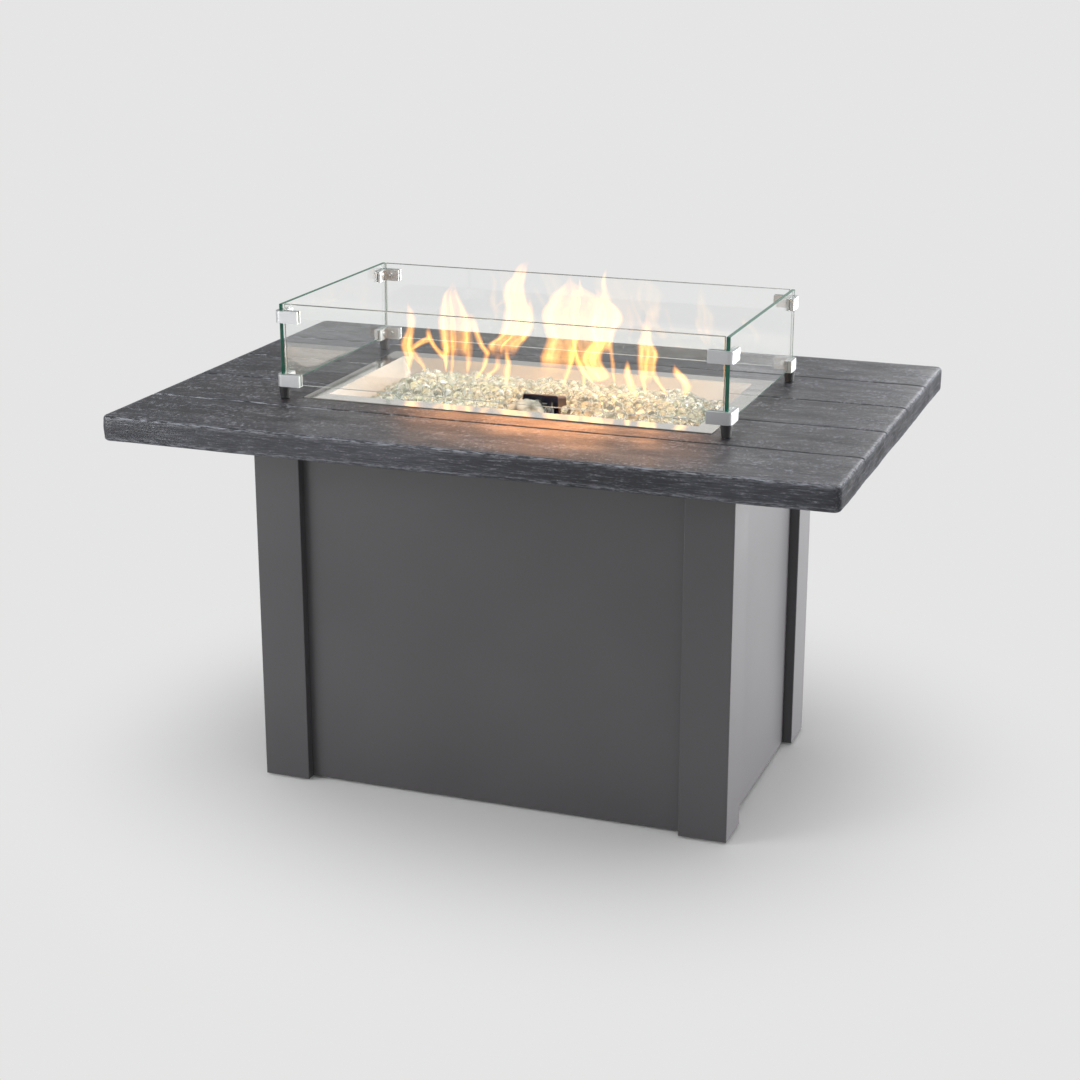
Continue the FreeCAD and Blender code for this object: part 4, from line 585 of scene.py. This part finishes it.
def slab_sides(slab, rim, thickness):
    # The rounded edge and the sides, row by row down from the rim, which runs counterclockwise seen
    # from above. Returns the lowest row.
    start = [Vector(slab.points[number]) for number in rim]
    outward = []
    for number in range(len(start)):
        along = (start[(number + 1) % len(start)] - start[number - 1]).normalized()
        outward.append(Vector((along.y, -along.x, 0)).normalized())
    previous = rim
    for inset, depth, worn_and_lit in side_rows(thickness):
        row = []
        for place, side in zip(start, outward):
            low = depth / thickness
            drift = 0.0012 * wave((place.x, place.y, depth * 2), (9, 9, 20), 3.0)
            drift += 0.0004 * wave((place.x, place.y, depth), (60, 60, 90), 9.0)
            sag = 0.0016 * low * wave((place.x, place.y, 0), (7, 7, 1), 5.0)
            notch = 0.0015 * groove_share(place.x, place.y) * max(0.0, 1 - depth / 0.009)
            at = place + side * (EDGE_ROUND - inset + drift * min(1.0, depth / 0.004) - notch)
            z = TABLE_LEVEL - depth + sag + min(0.0, place.z - TABLE_LEVEL) * (1 - low)
            row.append(slab.add(at.x, at.y, z, worn_and_lit))
        for number in range(len(row)):
            after = (number + 1) % len(row)
            slab.faces.append([previous[after], previous[number], row[number], row[after]])
        previous = row
    return previous


def line_marks(half, cutout):
    # Where the grid needs a line: along the corners' rounds and at the cut-out's edges.
    places = [half - (CORNER_ROUND - EDGE_ROUND) * step for step in CORNER_STEPS] + [cutout]
    return [side * place for side in (-1, 1) for place in places]


def build_top():
    half_x, half_y = TOP_HIGH.x - EDGE_ROUND, TOP_HIGH.y - EDGE_ROUND
    marks_x, marks_y = line_marks(half_x, CUTOUT_HALF.x), line_marks(half_y, CUTOUT_HALF.y)
    for centre in groove_places():
        marks_y += [centre + GROOVE_HALF * 1.5 * step / 3 for step in range(-3, 4)]
    xs = grid_lines(-half_x, half_x, GRID_X, marks_x)
    ys = grid_lines(-half_y, half_y, GRID_Y, marks_y)
    slab = Slab()
    index = upper_face(slab, xs, ys, half_x, half_y)
    last_i, last_j = len(xs) - 1, len(ys) - 1
    rim = [(i, 0) for i in range(last_i)] + [(last_i, j) for j in range(last_j)]
    rim += [(i, last_j) for i in range(last_i, 0, -1)] + [(0, j) for j in range(last_j, 0, -1)]
    lowest = slab_sides(slab, [index[key] for key in rim], TOP_HIGH.z - TOP_LOW.z)

    # The underside, in four parts around the cut-out
    corners = ((-1, -1), (1, -1), (1, 1), (-1, 1))
    inner = [slab.add(sx * CUTOUT_HALF.x, sy * CUTOUT_HALF.y, TOP_LOW.z) for sx, sy in corners]
    ends = [0, last_i, last_i + last_j, 2 * last_i + last_j, len(rim)]
    for side in range(4):
        strip = [lowest[number % len(rim)] for number in range(ends[side], ends[side + 1] + 1)]
        slab.faces.append(strip[::-1] + [inner[side], inner[(side + 1) % 4]])

    # The cut-out's four walls
    low_i, high_i = (xs.index(round(s * CUTOUT_HALF.x, 6)) for s in (-1, 1))
    low_j, high_j = (ys.index(round(s * CUTOUT_HALF.y, 6)) for s in (-1, 1))
    walls = [
        [index[i, low_j] for i in range(low_i, high_i + 1)],
        [index[high_i, j] for j in range(low_j, high_j + 1)],
        [index[i, high_j] for i in range(high_i, low_i - 1, -1)],
        [index[low_i, j] for j in range(high_j, low_j - 1, -1)],
    ]
    for side, wall in enumerate(walls):
        slab.faces.append(wall + [inner[(side + 1) % 4], inner[side]])
    mesh = mesh_from("cast_top", slab.points, slab.faces)
    set_attributes(mesh, wear=slab.wear, groove=slab.groove)
    return mesh


# The bed of glass beads

def heap_share(x, y):
    # 1 at the middle of the small heap in front of the hood.
    across, deep = (x - HEAP_PLACE[0]) / HEAP_SPREAD[0], (y - HEAP_PLACE[1]) / HEAP_SPREAD[1]
    return math.exp(-(across ** 4 + deep ** 2))


def bed_height(x, y):
    # The heap's surface: low along the pan's walls, crowned along the middle.
    edge = min(BED_HIGH.x - abs(x), BED_HIGH.y - abs(y))
    rise = min(1.0, max(0.0, edge) / BED_SLOPE_WIDTH)
    crown = BED_EDGE_DROP * (0.5 - 0.5 * math.cos(math.pi * rise))
    level = TABLE_LEVEL - BED_EDGE_DROP + crown + HEAP_RISE * heap_share(x, y)
    return level + 0.004 * wave((x, y, 0), (14, 14, 1), 2.0)


def near_hood(x, y, margin):
    # The hood keeps a small space free of beads under it and behind it.
    return HOOD_LOW.x - margin < x < HOOD_HIGH.x + margin and HOOD_LOW.y + 0.004 < y < HOOD_HIGH.y + margin


def bead_places():
    # Two layers of beads on an uneven grid of staggered rows, each as (x, y, z, radius).
    spread = np.random.default_rng(7)
    places = []
    step = 2 * BEAD_RADIUS * 0.95
    for layer in range(2):
        rows = int(2 * BED_HIGH.y / (step * 0.87))
        columns = int(2 * BED_HIGH.x / step)
        for row in range(rows + 1):
            for column in range(columns + 1):
                x = -BED_HIGH.x + (column + 0.5 * ((row + layer) % 2)) * step + spread.normal(0, 0.0018)
                y = -BED_HIGH.y + row * step * 0.87 + 0.4 * step * layer + spread.normal(0, 0.0018)
                if abs(x) > BED_HIGH.x - 0.006 or abs(y) > BED_HIGH.y - 0.006 or near_hood(x, y, 0.004):
                    continue
                z = bed_height(x, y) - 0.4 * BEAD_RADIUS - layer * 1.35 * BEAD_RADIUS
                z += spread.normal(0, 0.0016)
                places.append((x, y, z, BEAD_RADIUS * spread.uniform(0.78, 1.12)))
    return np.array(places)


def settle(places):
    # Pushes beads apart where they overlap, so that they lie against each other.
    points, radii = places[:, :3].copy(), places[:, 3]
    for _ in range(12):
        gap = points[:, None, :] - points[None, :, :]
        distance = np.sqrt((gap ** 2).sum(2)) + np.eye(len(points))
        want = (radii[:, None] + radii[None, :]) * 0.97
        push = np.clip(want - distance, 0, None) * 0.3
        np.fill_diagonal(push, 0)
        points += (gap / distance[:, :, None] * push[:, :, None]).sum(1)
    return np.column_stack([points, radii])


def ball(sides, rings):
    # A ball of radius 1, as points and faces.
    points = [(0.0, 0.0, 1.0)]
    for ring in range(1, rings):
        polar = math.pi * ring / rings
        wide, high = math.sin(polar), math.cos(polar)
        for side in range(sides):
            turn = 2 * math.pi * side / sides
            points.append((wide * math.cos(turn), wide * math.sin(turn), high))
    points.append((0.0, 0.0, -1.0))
    last = len(points) - 1
    faces = [(0, 1 + side, 1 + (side + 1) % sides) for side in range(sides)]
    for ring in range(rings - 2):
        first = 1 + ring * sides
        for side in range(sides):
            after = (side + 1) % sides
            faces.append((first + side, first + sides + side, first + sides + after, first + after))
    low = 1 + (rings - 2) * sides
    faces += [(low + side, last, low + (side + 1) % sides) for side in range(sides)]
    return np.array(points), faces


def build_beads():
    unit, unit_faces = ball(BEAD_SIDES, BEAD_RINGS)
    spread = np.random.default_rng(11)
    points, faces = [], []
    for x, y, z, radius in settle(bead_places()):
        angle, axis = spread.uniform(0, math.pi), Vector(spread.normal(size=3)).normalized()
        turn = np.array(Matrix.Rotation(angle, 3, axis))
        squash = np.array([1.0, spread.uniform(0.88, 1.0), spread.uniform(0.72, 0.95)])
        first = len(points)
        points.extend((unit * squash * radius) @ turn.T + (x, y, z))
        faces.extend(tuple(first + corner for corner in face) for face in unit_faces)
    return mesh_from("glass_beads", points, faces)


def build_bed_base():
    # The deeper beads, as one lumpy closed body under the two loose layers.
    count_x, count_y = BED_GRID
    points, faces = [], []
    for level in range(2):
        for i in range(count_x + 1):
            for j in range(count_y + 1):
                x = (2 * i / count_x - 1) * (BED_HIGH.x - 0.004)
                y = (2 * j / count_y - 1) * (BED_HIGH.y - 0.004)
                drop = BEAD_RADIUS * (2.1 - 2.3 * heap_share(x, y))
                lump = 0.002 * wave((x, y, 0), (90, 90, 1), 4.0)
                z = max(BED_FLOOR + 0.004, bed_height(x, y) - drop + lump)
                if near_hood(x, y, 0.0):
                    z = min(z, BED_FLOOR + 0.02)
                points.append((x, y, z) if level == 0 else (x * 0.92, y * 0.85, BED_FLOOR))
    width = count_y + 1
    layer = (count_x + 1) * width
    for i in range(count_x):
        for j in range(count_y):
            a, b, c, d = i * width + j, (i + 1) * width + j, (i + 1) * width + j + 1, i * width + j + 1
            faces.append((a, b, c, d))
            faces.append((layer + d, layer + c, layer + b, layer + a))
    rim = [i * width for i in range(count_x)] + [count_x * width + j for j in range(count_y)]
    rim += [i * width + count_y for i in range(count_x, 0, -1)] + [j for j in range(count_y, 0, -1)]
    for number, a in enumerate(rim):
        b = rim[(number + 1) % len(rim)]
        faces.append((b, a, layer + a, layer + b))
    return mesh_from("deep_beads", points, faces)


# Flames: thin curved sheets of gas. Each is (root depth, lean, fill, left rim, right rim, rows), with rows of
# (height over the table, left edge, right edge) and its lengths in millimetres. Fill is how full its middle
# is, and a rim is how bright an edge is.

FLAMES = [
    (-5, 0.15, 1.0, 0.0, 0.0,
     [(8, -225, -220), (26, -227, -217), (38, -232, -212), (50, -239, -215), (62, -238, -215),
      (78, -231, -215), (90, -229, -213), (100, -231, -215), (113, -232, -225), (124, -232, -230)]),
    (-5, 0.15, 0.8, 0.0, 0.0,
     [(46, -222, -216), (54, -220, -200), (60, -214, -188), (66, -204, -186), (72, -192, -186)]),
    (-5, 0.15, 0.6, 0.0, 0.0,
     [(14, -196, -193), (23, -202, -193), (31, -212, -198), (42, -222, -206), (54, -228, -216)]),
    (5, 0.2, 0.9, 0.0, 0.2,
     [(32, -170, -162), (40, -180, -164), (48, -188, -175), (56, -195, -183), (66, -202, -189),
      (75, -203, -193), (84, -199, -196)]),
    (5, 0.2, 1.0, 0.0, 0.0,
     [(14, -164, -161), (30, -169, -160), (42, -172, -159), (54, -170, -159), (68, -166, -163)]),
    (25, 0.35, 0.38, 1.0, 0.55,
     [(30, -172, -140), (45, -185, -139), (59, -189, -138), (72, -192, -139), (86, -194, -140),
      (101, -195, -150), (114, -195, -158), (127, -192, -166), (138, -184, -172), (150, -182, -178)]),
    (20, 0.3, 0.7, 0.0, 0.0,
     [(4, -162, -159), (25, -164, -157), (45, -166, -158), (61, -168, -161), (84, -173, -164)]),
    (25, 0.3, 0.55, 0.0, 0.0,
     [(6, -137, -133), (30, -141, -128), (46, -144, -128), (62, -148, -130), (88, -154, -134),
      (104, -156, -146)]),
    (20, 0.3, 0.95, 0.0, 0.3,
     [(38, -104, -97), (46, -111, -98), (55, -119, -107), (65, -126, -113), (78, -133, -120),
      (92, -139, -126), (104, -146, -136)]),
    (50, 0.42, 0.75, 0.35, 0.25,
     [(30, -106, -66), (43, -115, -62), (53, -114, -57), (61, -104, -50), (71, -99, -45), (83, -97, -43),
      (102, -98, -50), (116, -100, -59), (127, -104, -64), (141, -103, -68), (151, -94, -67),
      (160, -91, -67), (168, -87, -67), (174, -80, -65), (178, -68, -66)]),
    (40, 0.4, 0.6, 0.0, 0.5,
     [(58, -62, -52), (71, -58, -46), (84, -57, -43), (100, -57, -42), (113, -56, -46), (124, -53, -50)]),
    (15, 0.3, 1.0, 0.0, 0.0,
     [(-2, -65, -61), (11, -70, -59), (21, -72, -58), (32, -70, -58), (44, -72, -62), (62, -76, -62)]),
    (15, 0.3, 0.8, 0.0, 0.0,
     [(4, -120, -112), (14, -115, -105), (23, -109, -100), (34, -108, -97), (50, -107, -95)]),
    (15, 0.3, 0.6, 0.0, 0.0,
     [(2, -104, -98), (14, -99, -84), (21, -90, -78), (31, -87, -75), (48, -88, -76)]),
    (35, 0.4, 0.62, 0.45, 0.1,
     [(22, -14, 66), (38, -19, 75), (49, -19, 76), (63, -14, 76), (73, -13, 78), (85, -18, 78),
      (101, -25, 76), (112, -26, 74), (125, -18, 70), (136, -14, 58), (147, -1, 36), (158, 8, 17),
      (169, 10, 12)]),
    (38, 0.4, 0.5, 0.0, 0.0,
     [(132, 22, 40), (143, 25, 36), (152, 26, 31), (160, 26, 28)]),
    (38, 0.4, 0.7, 0.0, 0.3,
     [(126, 60, 88), (139, 64, 80), (150, 63, 74), (159, 62, 72), (167, 64, 71), (177, 68, 70)]),
    (30, 0.4, 0.9, 0.1, 0.3,
     [(52, 70, 96), (64, 66, 98), (76, 60, 99), (88, 54, 102), (98, 53, 108), (108, 56, 109),
      (118, 57, 101), (130, 58, 86), (141, 57, 72), (150, 54, 58)]),
    (15, 0.3, 1.0, 0.0, 0.0,
     [(12, 76, 83), (20, 66, 79), (29, 55, 71), (41, 47, 60), (53, 43, 52), (69, 38, 46), (90, 33, 42),
      (104, 31, 36)]),
    (12, 0.35, 0.95, 0.2, 0.2,
     [(14, 80, 94), (22, 74, 107), (30, 67, 104), (39, 60, 96), (49, 56, 91), (62, 59, 93), (76, 70, 98),
      (92, 82, 99)]),
    (20, 0.3, 0.8, 0.0, 0.0,
     [(2, 27, 32), (20, 28, 38), (33, 31, 42), (46, 31, 44), (59, 28, 45), (80, 24, 38)]),
    (20, 0.3, 0.55, 0.0, 0.0,
     [(4, 62, 66), (19, 57, 66), (35, 51, 63), (50, 41, 56)]),
    (20, 0.3, 0.6, 0.0, 0.4,
     [(12, 113, 116), (28, 106, 112), (44, 102, 111), (58, 98, 107), (70, 96, 105), (90, 95, 105)]),
    (10, 0.25, 0.85, 0.25, 0.35,
     [(20, 154, 176), (37, 151, 181), (51, 148, 182), (62, 147, 184), (71, 147, 180), (81, 147, 172),
      (97, 150, 170), (109, 152, 166), (122, 156, 160)]),
    (5, 0.2, 1.0, 0.0, 0.0,
     [(4, 168, 170), (19, 161, 171), (28, 157, 170), (44, 153, 169)]),
    (5, 0.2, 0.75, 0.0, 0.0,
     [(4, 202, 206), (13, 194, 202), (21, 186, 196), (30, 179, 189), (46, 172, 183)]),
    (-10, 0.2, 1.0, 0.0, 0.2,
     [(0, 161, 164), (17, 142, 158), (30, 137, 153), (39, 135, 149), (49, 136, 146), (60, 139, 141)]),
    (-20, 0.2, 1.0, 0.0, 0.3,
     [(10, 236, 241), (21, 233, 247), (28, 231, 249), (35, 226, 245), (42, 217, 240), (48, 214, 231),
      (54, 215, 224), (61, 217, 219)]),
]


def along_curve(rows, share):
    # A smooth curve through the rows (Catmull-Rom), at a share of its way.
    last = len(rows) - 1
    number = min(int(share * last), last - 1)
    t = share * last - number
    p0, p1, p2, p3 = (np.array(rows[min(max(number + k, 0), last)], float) for k in (-1, 0, 1, 2))
    square, cube = 2 * p0 - 5 * p1 + 4 * p2 - p3, 3 * p1 - p0 - 3 * p2 + p3
    return 0.5 * (2 * p1 + (p2 - p0) * t + square * t ** 2 + cube * t ** 3)


def flame_density(u, v, width, fill, left_rim, right_rim, seed):
    # How much gas glows at a point of a sheet: soft at its edges and ends, striped along its height.
    soft = min(0.48, FLAME_EDGE / max(width, 0.004))
    body = ease(u / soft) * ease((1 - u) / soft) if width > 0.018 else math.sin(math.pi * u) ** 1.3
    stripes = 0.85 + 0.35 * noise.noise(Vector((u * width * 170 + seed, v * 2.2, seed)))
    rims = left_rim * math.exp(-((u - 0.14) / 0.10) ** 2) + right_rim * math.exp(-((u - 0.86) / 0.10) ** 2)
    ends = ease(v / 0.13) * ease((1 - v) / 0.30)
    return body * ends * min(1.0, fill * stripes + rims)


def build_flames():
    points, faces, density, heat = [], [], [], []
    for number, (root, lean, fill, left_rim, right_rim, rows) in enumerate(FLAMES):
        # Each flame is two sheets that cross, so that it has a body from every side.
        for cross in (0, 1):
            first = len(points)
            for row in range(FLAME_ROWS + 1):
                v = row / FLAME_ROWS
                height, left, right = along_curve(rows, v) / 1000
                left += 0.0012 * noise.noise(Vector((height * 70, 3.3 * number, 0)))
                right += 0.0012 * noise.noise(Vector((height * 70, 3.3 * number, 9)))
                centre, half = (left + right) / 2, max(0.0005, (right - left) / 2)
                depth = root / 1000 + lean * height
                turn = math.radians(18 + 80 * cross + 12 * math.sin(3 * v + number))
                reach = half * (CROSS_SHARE if cross else 1.0)
                for column in range(FLAME_COLUMNS + 1):
                    u = column / FLAME_COLUMNS
                    across = (2 * u - 1) * reach
                    bulge = 0.35 * reach * (1 - (2 * u - 1) ** 2) * (1 if number % 2 else -1)
                    x = centre + math.cos(turn) * across - math.sin(turn) * bulge
                    y = depth + math.sin(turn) * across + math.cos(turn) * bulge
                    points.append((x, y, TABLE_LEVEL + height))
                    amount = flame_density(u, v, 2 * half, fill, left_rim, right_rim, 5.1 * number)
                    density.append(amount * (0.45 if cross else 1.0))
                    heat.append(amount)
            width = FLAME_COLUMNS + 1
            for row in range(FLAME_ROWS):
                for column in range(FLAME_COLUMNS):
                    a = first + row * width + column
                    faces.append((a, a + 1, a + width + 1, a + width))
    mesh = mesh_from("flames", points, faces)
    set_attributes(mesh, gas_amount=density, gas_heat=heat)
    return mesh


# Dressing the CAD nodes

def dress(material, *names):
    for name in names:
        mesh = NODES[name].data
        mesh.materials.clear()
        mesh.materials.append(material)


def nodes_starting(*starts):
    return [name for name in NODES if name.startswith(starts)]


def dress_pane(name, face, edge):
    # A pane's broad faces are clear, and its polished edges tinted.
    mesh = NODES[name].data
    mesh.materials.clear()
    mesh.materials.append(face)
    mesh.materials.append(edge)
    low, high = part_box(name)
    thin = 0 if high.x - low.x < high.y - low.y else 1
    for polygon in mesh.polygons:
        polygon.material_index = 0 if abs(polygon.normal[thin]) > 0.9 else 1


def dress_nodes():
    dress(powder_coat(), *nodes_starting("leg_", "panel_", "rail_", "rear_"),
          "access_door", "tank_tray", "door_knob")
    dress(plastic("nylon_black", (0.03, 0.03, 0.03), 0.5), "leveling_feet")
    dress(plastic("rubber_black", (0.022, 0.022, 0.024), 0.55), "guard_feet")
    dress(plastic("knob_black", (0.02, 0.02, 0.02), 0.35), "gas_knob", "igniter_module", "magnet_catch")
    dress(plastic("button_black", (0.02, 0.02, 0.02), 0.12), "igniter_button")
    dress(plastic("white_ceramic", (0.80, 0.78, 0.73), 0.2), "spark_electrode")
    dress(brushed_metal("zinc", (0.62, 0.62, 0.60), 0.38, (200.0, 200.0, 200.0)), *nodes_starting("hinge_"),
          "slab_screws", "door_fasteners", "catch_plate", "thrust_washer", "valve_stem",
          "plate_screws", "clamp_screws")
    dress(brushed_metal("steel", (0.74, 0.72, 0.69), 0.22, (8.0, 600.0, 600.0)),
          "burner_tube", "control_plate", "air_mixer", "pilot_bracket")
    dress(brushed_metal("galvanised", (0.60, 0.60, 0.60), 0.4, (60.0, 60.0, 60.0), stain=0.2), "heat_shield")
    dress(brushed_metal("sensor_steel", (0.55, 0.50, 0.45), 0.35), "flame_sensor")
    dress(brushed_metal("brass", (0.75, 0.52, 0.22), 0.3), "gas_valve", "gas_inlet")
    dress(brushed_metal("aluminium", (0.78, 0.78, 0.79), 0.3), "gas_tube")
    dress(brushed_metal("clamp_silver", (0.48, 0.485, 0.495), 0.42, (300.0, 300.0, 30.0), metallic=0.55),
          *nodes_starting("clamp_lower", "clamp_upper"))
    dress(pan_steel(), "burner_pan")
    dress(heat_tint(), "igniter_hood")
    face = pane_glass()
    green = glass_edge("green_edge", (0.01, 0.24, 0.14), 0.35)
    pale = glass_edge("pale_edge", (0.62, 0.66, 0.62), 0.75)
    for name in PANES:
        dress_pane(name, face, green if name in ("glass_left", "glass_right") else pale)


# Stage, light and camera

def make_floor():
    mesh = bpy.data.meshes.new("floor")
    builder = bmesh.new()
    bmesh.ops.create_circle(builder, cap_ends=True, segments=96, radius=FLOOR_RADIUS)
    builder.to_mesh(mesh)
    builder.free()
    floor = bpy.data.objects.new("floor", mesh)
    bpy.context.scene.collection.objects.link(floor)
    mesh.materials.append(floor_material())


def make_world():
    # Camera and glass see the backdrop, glossy surfaces mirror a sloped sky, and the rest gets even light.
    world = bpy.data.worlds.new("studio")
    bpy.context.scene.world = world
    world.use_nodes = True
    tree = world.node_tree
    tree.nodes.clear()

    def background(colour, strength=1.0):
        made = tree.nodes.new("ShaderNodeBackground")
        made.inputs["Color"].default_value = (*colour, 1.0)
        made.inputs["Strength"].default_value = strength
        return made

    white = (1.0, 1.0, 1.0)
    seen, mirrored, light = background(BACKDROP), background(white), background(white, SKY_STRENGTH)
    place = tree.nodes.new("ShaderNodeTexCoord")
    split = tree.nodes.new("ShaderNodeSeparateXYZ")
    tree.links.new(place.outputs["Generated"], split.inputs[0])
    slope = tree.nodes.new("ShaderNodeMapRange")
    slope.inputs["From Min"].default_value = SKY_LEFT_END
    slope.inputs["From Max"].default_value = SKY_RIGHT_END
    slope.inputs["To Min"].default_value = SKY_LEFT
    slope.inputs["To Max"].default_value = SKY_RIGHT
    tree.links.new(split.outputs["X"], slope.inputs["Value"])
    tree.links.new(slope.outputs["Result"], mirrored.inputs["Strength"])
    path = tree.nodes.new("ShaderNodeLightPath")
    surface = light.outputs[0]
    for name, other in (("Is Glossy Ray", mirrored), ("Is Camera Ray", seen), ("Is Transmission Ray", seen)):
        blend = tree.nodes.new("ShaderNodeMixShader")
        tree.links.new(path.outputs[name], blend.inputs[0])
        tree.links.new(surface, blend.inputs[1])
        tree.links.new(other.outputs[0], blend.inputs[2])
        surface = blend.outputs[0]
    out = tree.nodes.new("ShaderNodeOutputWorld")
    tree.links.new(surface, out.inputs["Surface"])


def add_lamp(name, kind, place, power, colour):
    data = bpy.data.lights.new(name, kind)
    data.energy = power
    data.color = colour
    lamp = bpy.data.objects.new(name, data)
    lamp.location = place
    lamp.visible_camera = False
    bpy.context.scene.collection.objects.link(lamp)
    return lamp


def soft_lamp(name, place, aim, width, height, power, colour=(1.0, 1.0, 1.0)):
    lamp = add_lamp(name, "AREA", place, power, colour)
    lamp.data.shape = "RECTANGLE"
    lamp.data.size = width
    lamp.data.size_y = height
    lamp.rotation_mode = "QUATERNION"
    lamp.rotation_quaternion = (Vector(aim) - Vector(place)).to_track_quat("-Z", "Y")
    return lamp


def light_only(lamp, objects):
    lit = bpy.data.collections.new(lamp.name + "_lights")
    for each in objects:
        lit.objects.link(each)
    lamp.light_linking.receiver_collection = lit


def flame_sheen(top, name, x, width, height, power):
    # The bright body of a flame, upright over the bed, as the satin top mirrors it.
    place = (x, 0.02, TABLE_LEVEL + 0.02 + height / 2)
    lamp = soft_lamp(name, place, (x, -1.0, place[2]), width, height, power, SHEEN_COLOUR)
    lamp.visible_transmission = False
    light_only(lamp, [top])


def flame_lamp(name, place, power):
    lamp = add_lamp(name, "POINT", place, power, FLAME_LIGHT)
    lamp.data.shadow_soft_size = 0.03
    lamp.visible_glossy = False
    lamp.visible_transmission = False
    return lamp


def make_lights(top):
    # The upright lamps leave out the panes, which would mirror them, and the key leaves out the floor too.
    solid = [each for each in bpy.data.objects if each.type == "MESH" and each.name not in PANES]
    body = [each for each in solid if each.name not in ("floor", top.name)]
    pan = [NODES["burner_pan"]]
    key_place, key_aim = (2.3, 1.6, 0.75), (0.3, 0.1, 0.45)
    light_only(soft_lamp("key_right", key_place, key_aim, 1.6, 1.3, 250), body)
    light_only(soft_lamp("key_top", key_place, key_aim, 1.6, 1.3, 80), [top])
    light_only(soft_lamp("sheen_rear", (0.8, 3.0, 1.3), (0.45, 0.0, 0.6), 1.2, 1.0, 14), [top])
    light_only(soft_lamp("pan_side", (1.5, 0.2, 1.2), (-0.28, 0.0, 0.58), 0.8, 0.8, 50), pan)
    light_only(soft_lamp("fill_front", (-2.2, -2.0, 0.9), (-0.1, 0.0, 0.3), 1.5, 1.5, 50), solid)
    soft_lamp("overhead", (0.5, 0.2, 3.0), (0.0, 0.0, 0.4), 2.6, 2.0, 32)
    for number, x in enumerate((-0.19, -0.04, 0.08, 0.18)):
        flame_lamp(f"flame_light_{number}", (x, 0.0, TABLE_LEVEL + 0.06), 0.5)
        light_only(flame_lamp(f"wall_light_{number}", (x, 0.03, TABLE_LEVEL + 0.05), 0.5), pan)


def make_camera():
    data = bpy.data.cameras.new("camera")
    data.lens = VIEW_LENS
    camera = bpy.data.objects.new("camera", data)
    azimuth, elevation = math.radians(VIEW_AZIMUTH), math.radians(VIEW_ELEVATION)
    level = math.cos(elevation)
    back = Vector((math.sin(azimuth) * level, -math.cos(azimuth) * level, math.sin(elevation)))
    camera.location = VIEW_PLACE
    camera.rotation_mode = "QUATERNION"
    camera.rotation_quaternion = (-back).to_track_quat("-Z", "Y")
    bpy.context.scene.collection.objects.link(camera)
    bpy.context.scene.camera = camera


bpy.context.scene.view_settings.view_transform = "Standard"
make_camera()
make_world()
make_floor()
dress_nodes()
top = add_object("cast_top", build_top(), cast_stone(), ["table_top"])
add_object("glass_beads", build_beads(), bead_glass(), ["fire_glass"])
add_object("deep_beads", build_bed_base(), deep_beads())
add_object("flames", build_flames(), flame())
make_lights(top)
for number, (x, width, height, power) in enumerate(SHEENS):
    flame_sheen(top, f"flame_sheen_{number}", x, width, height, power)
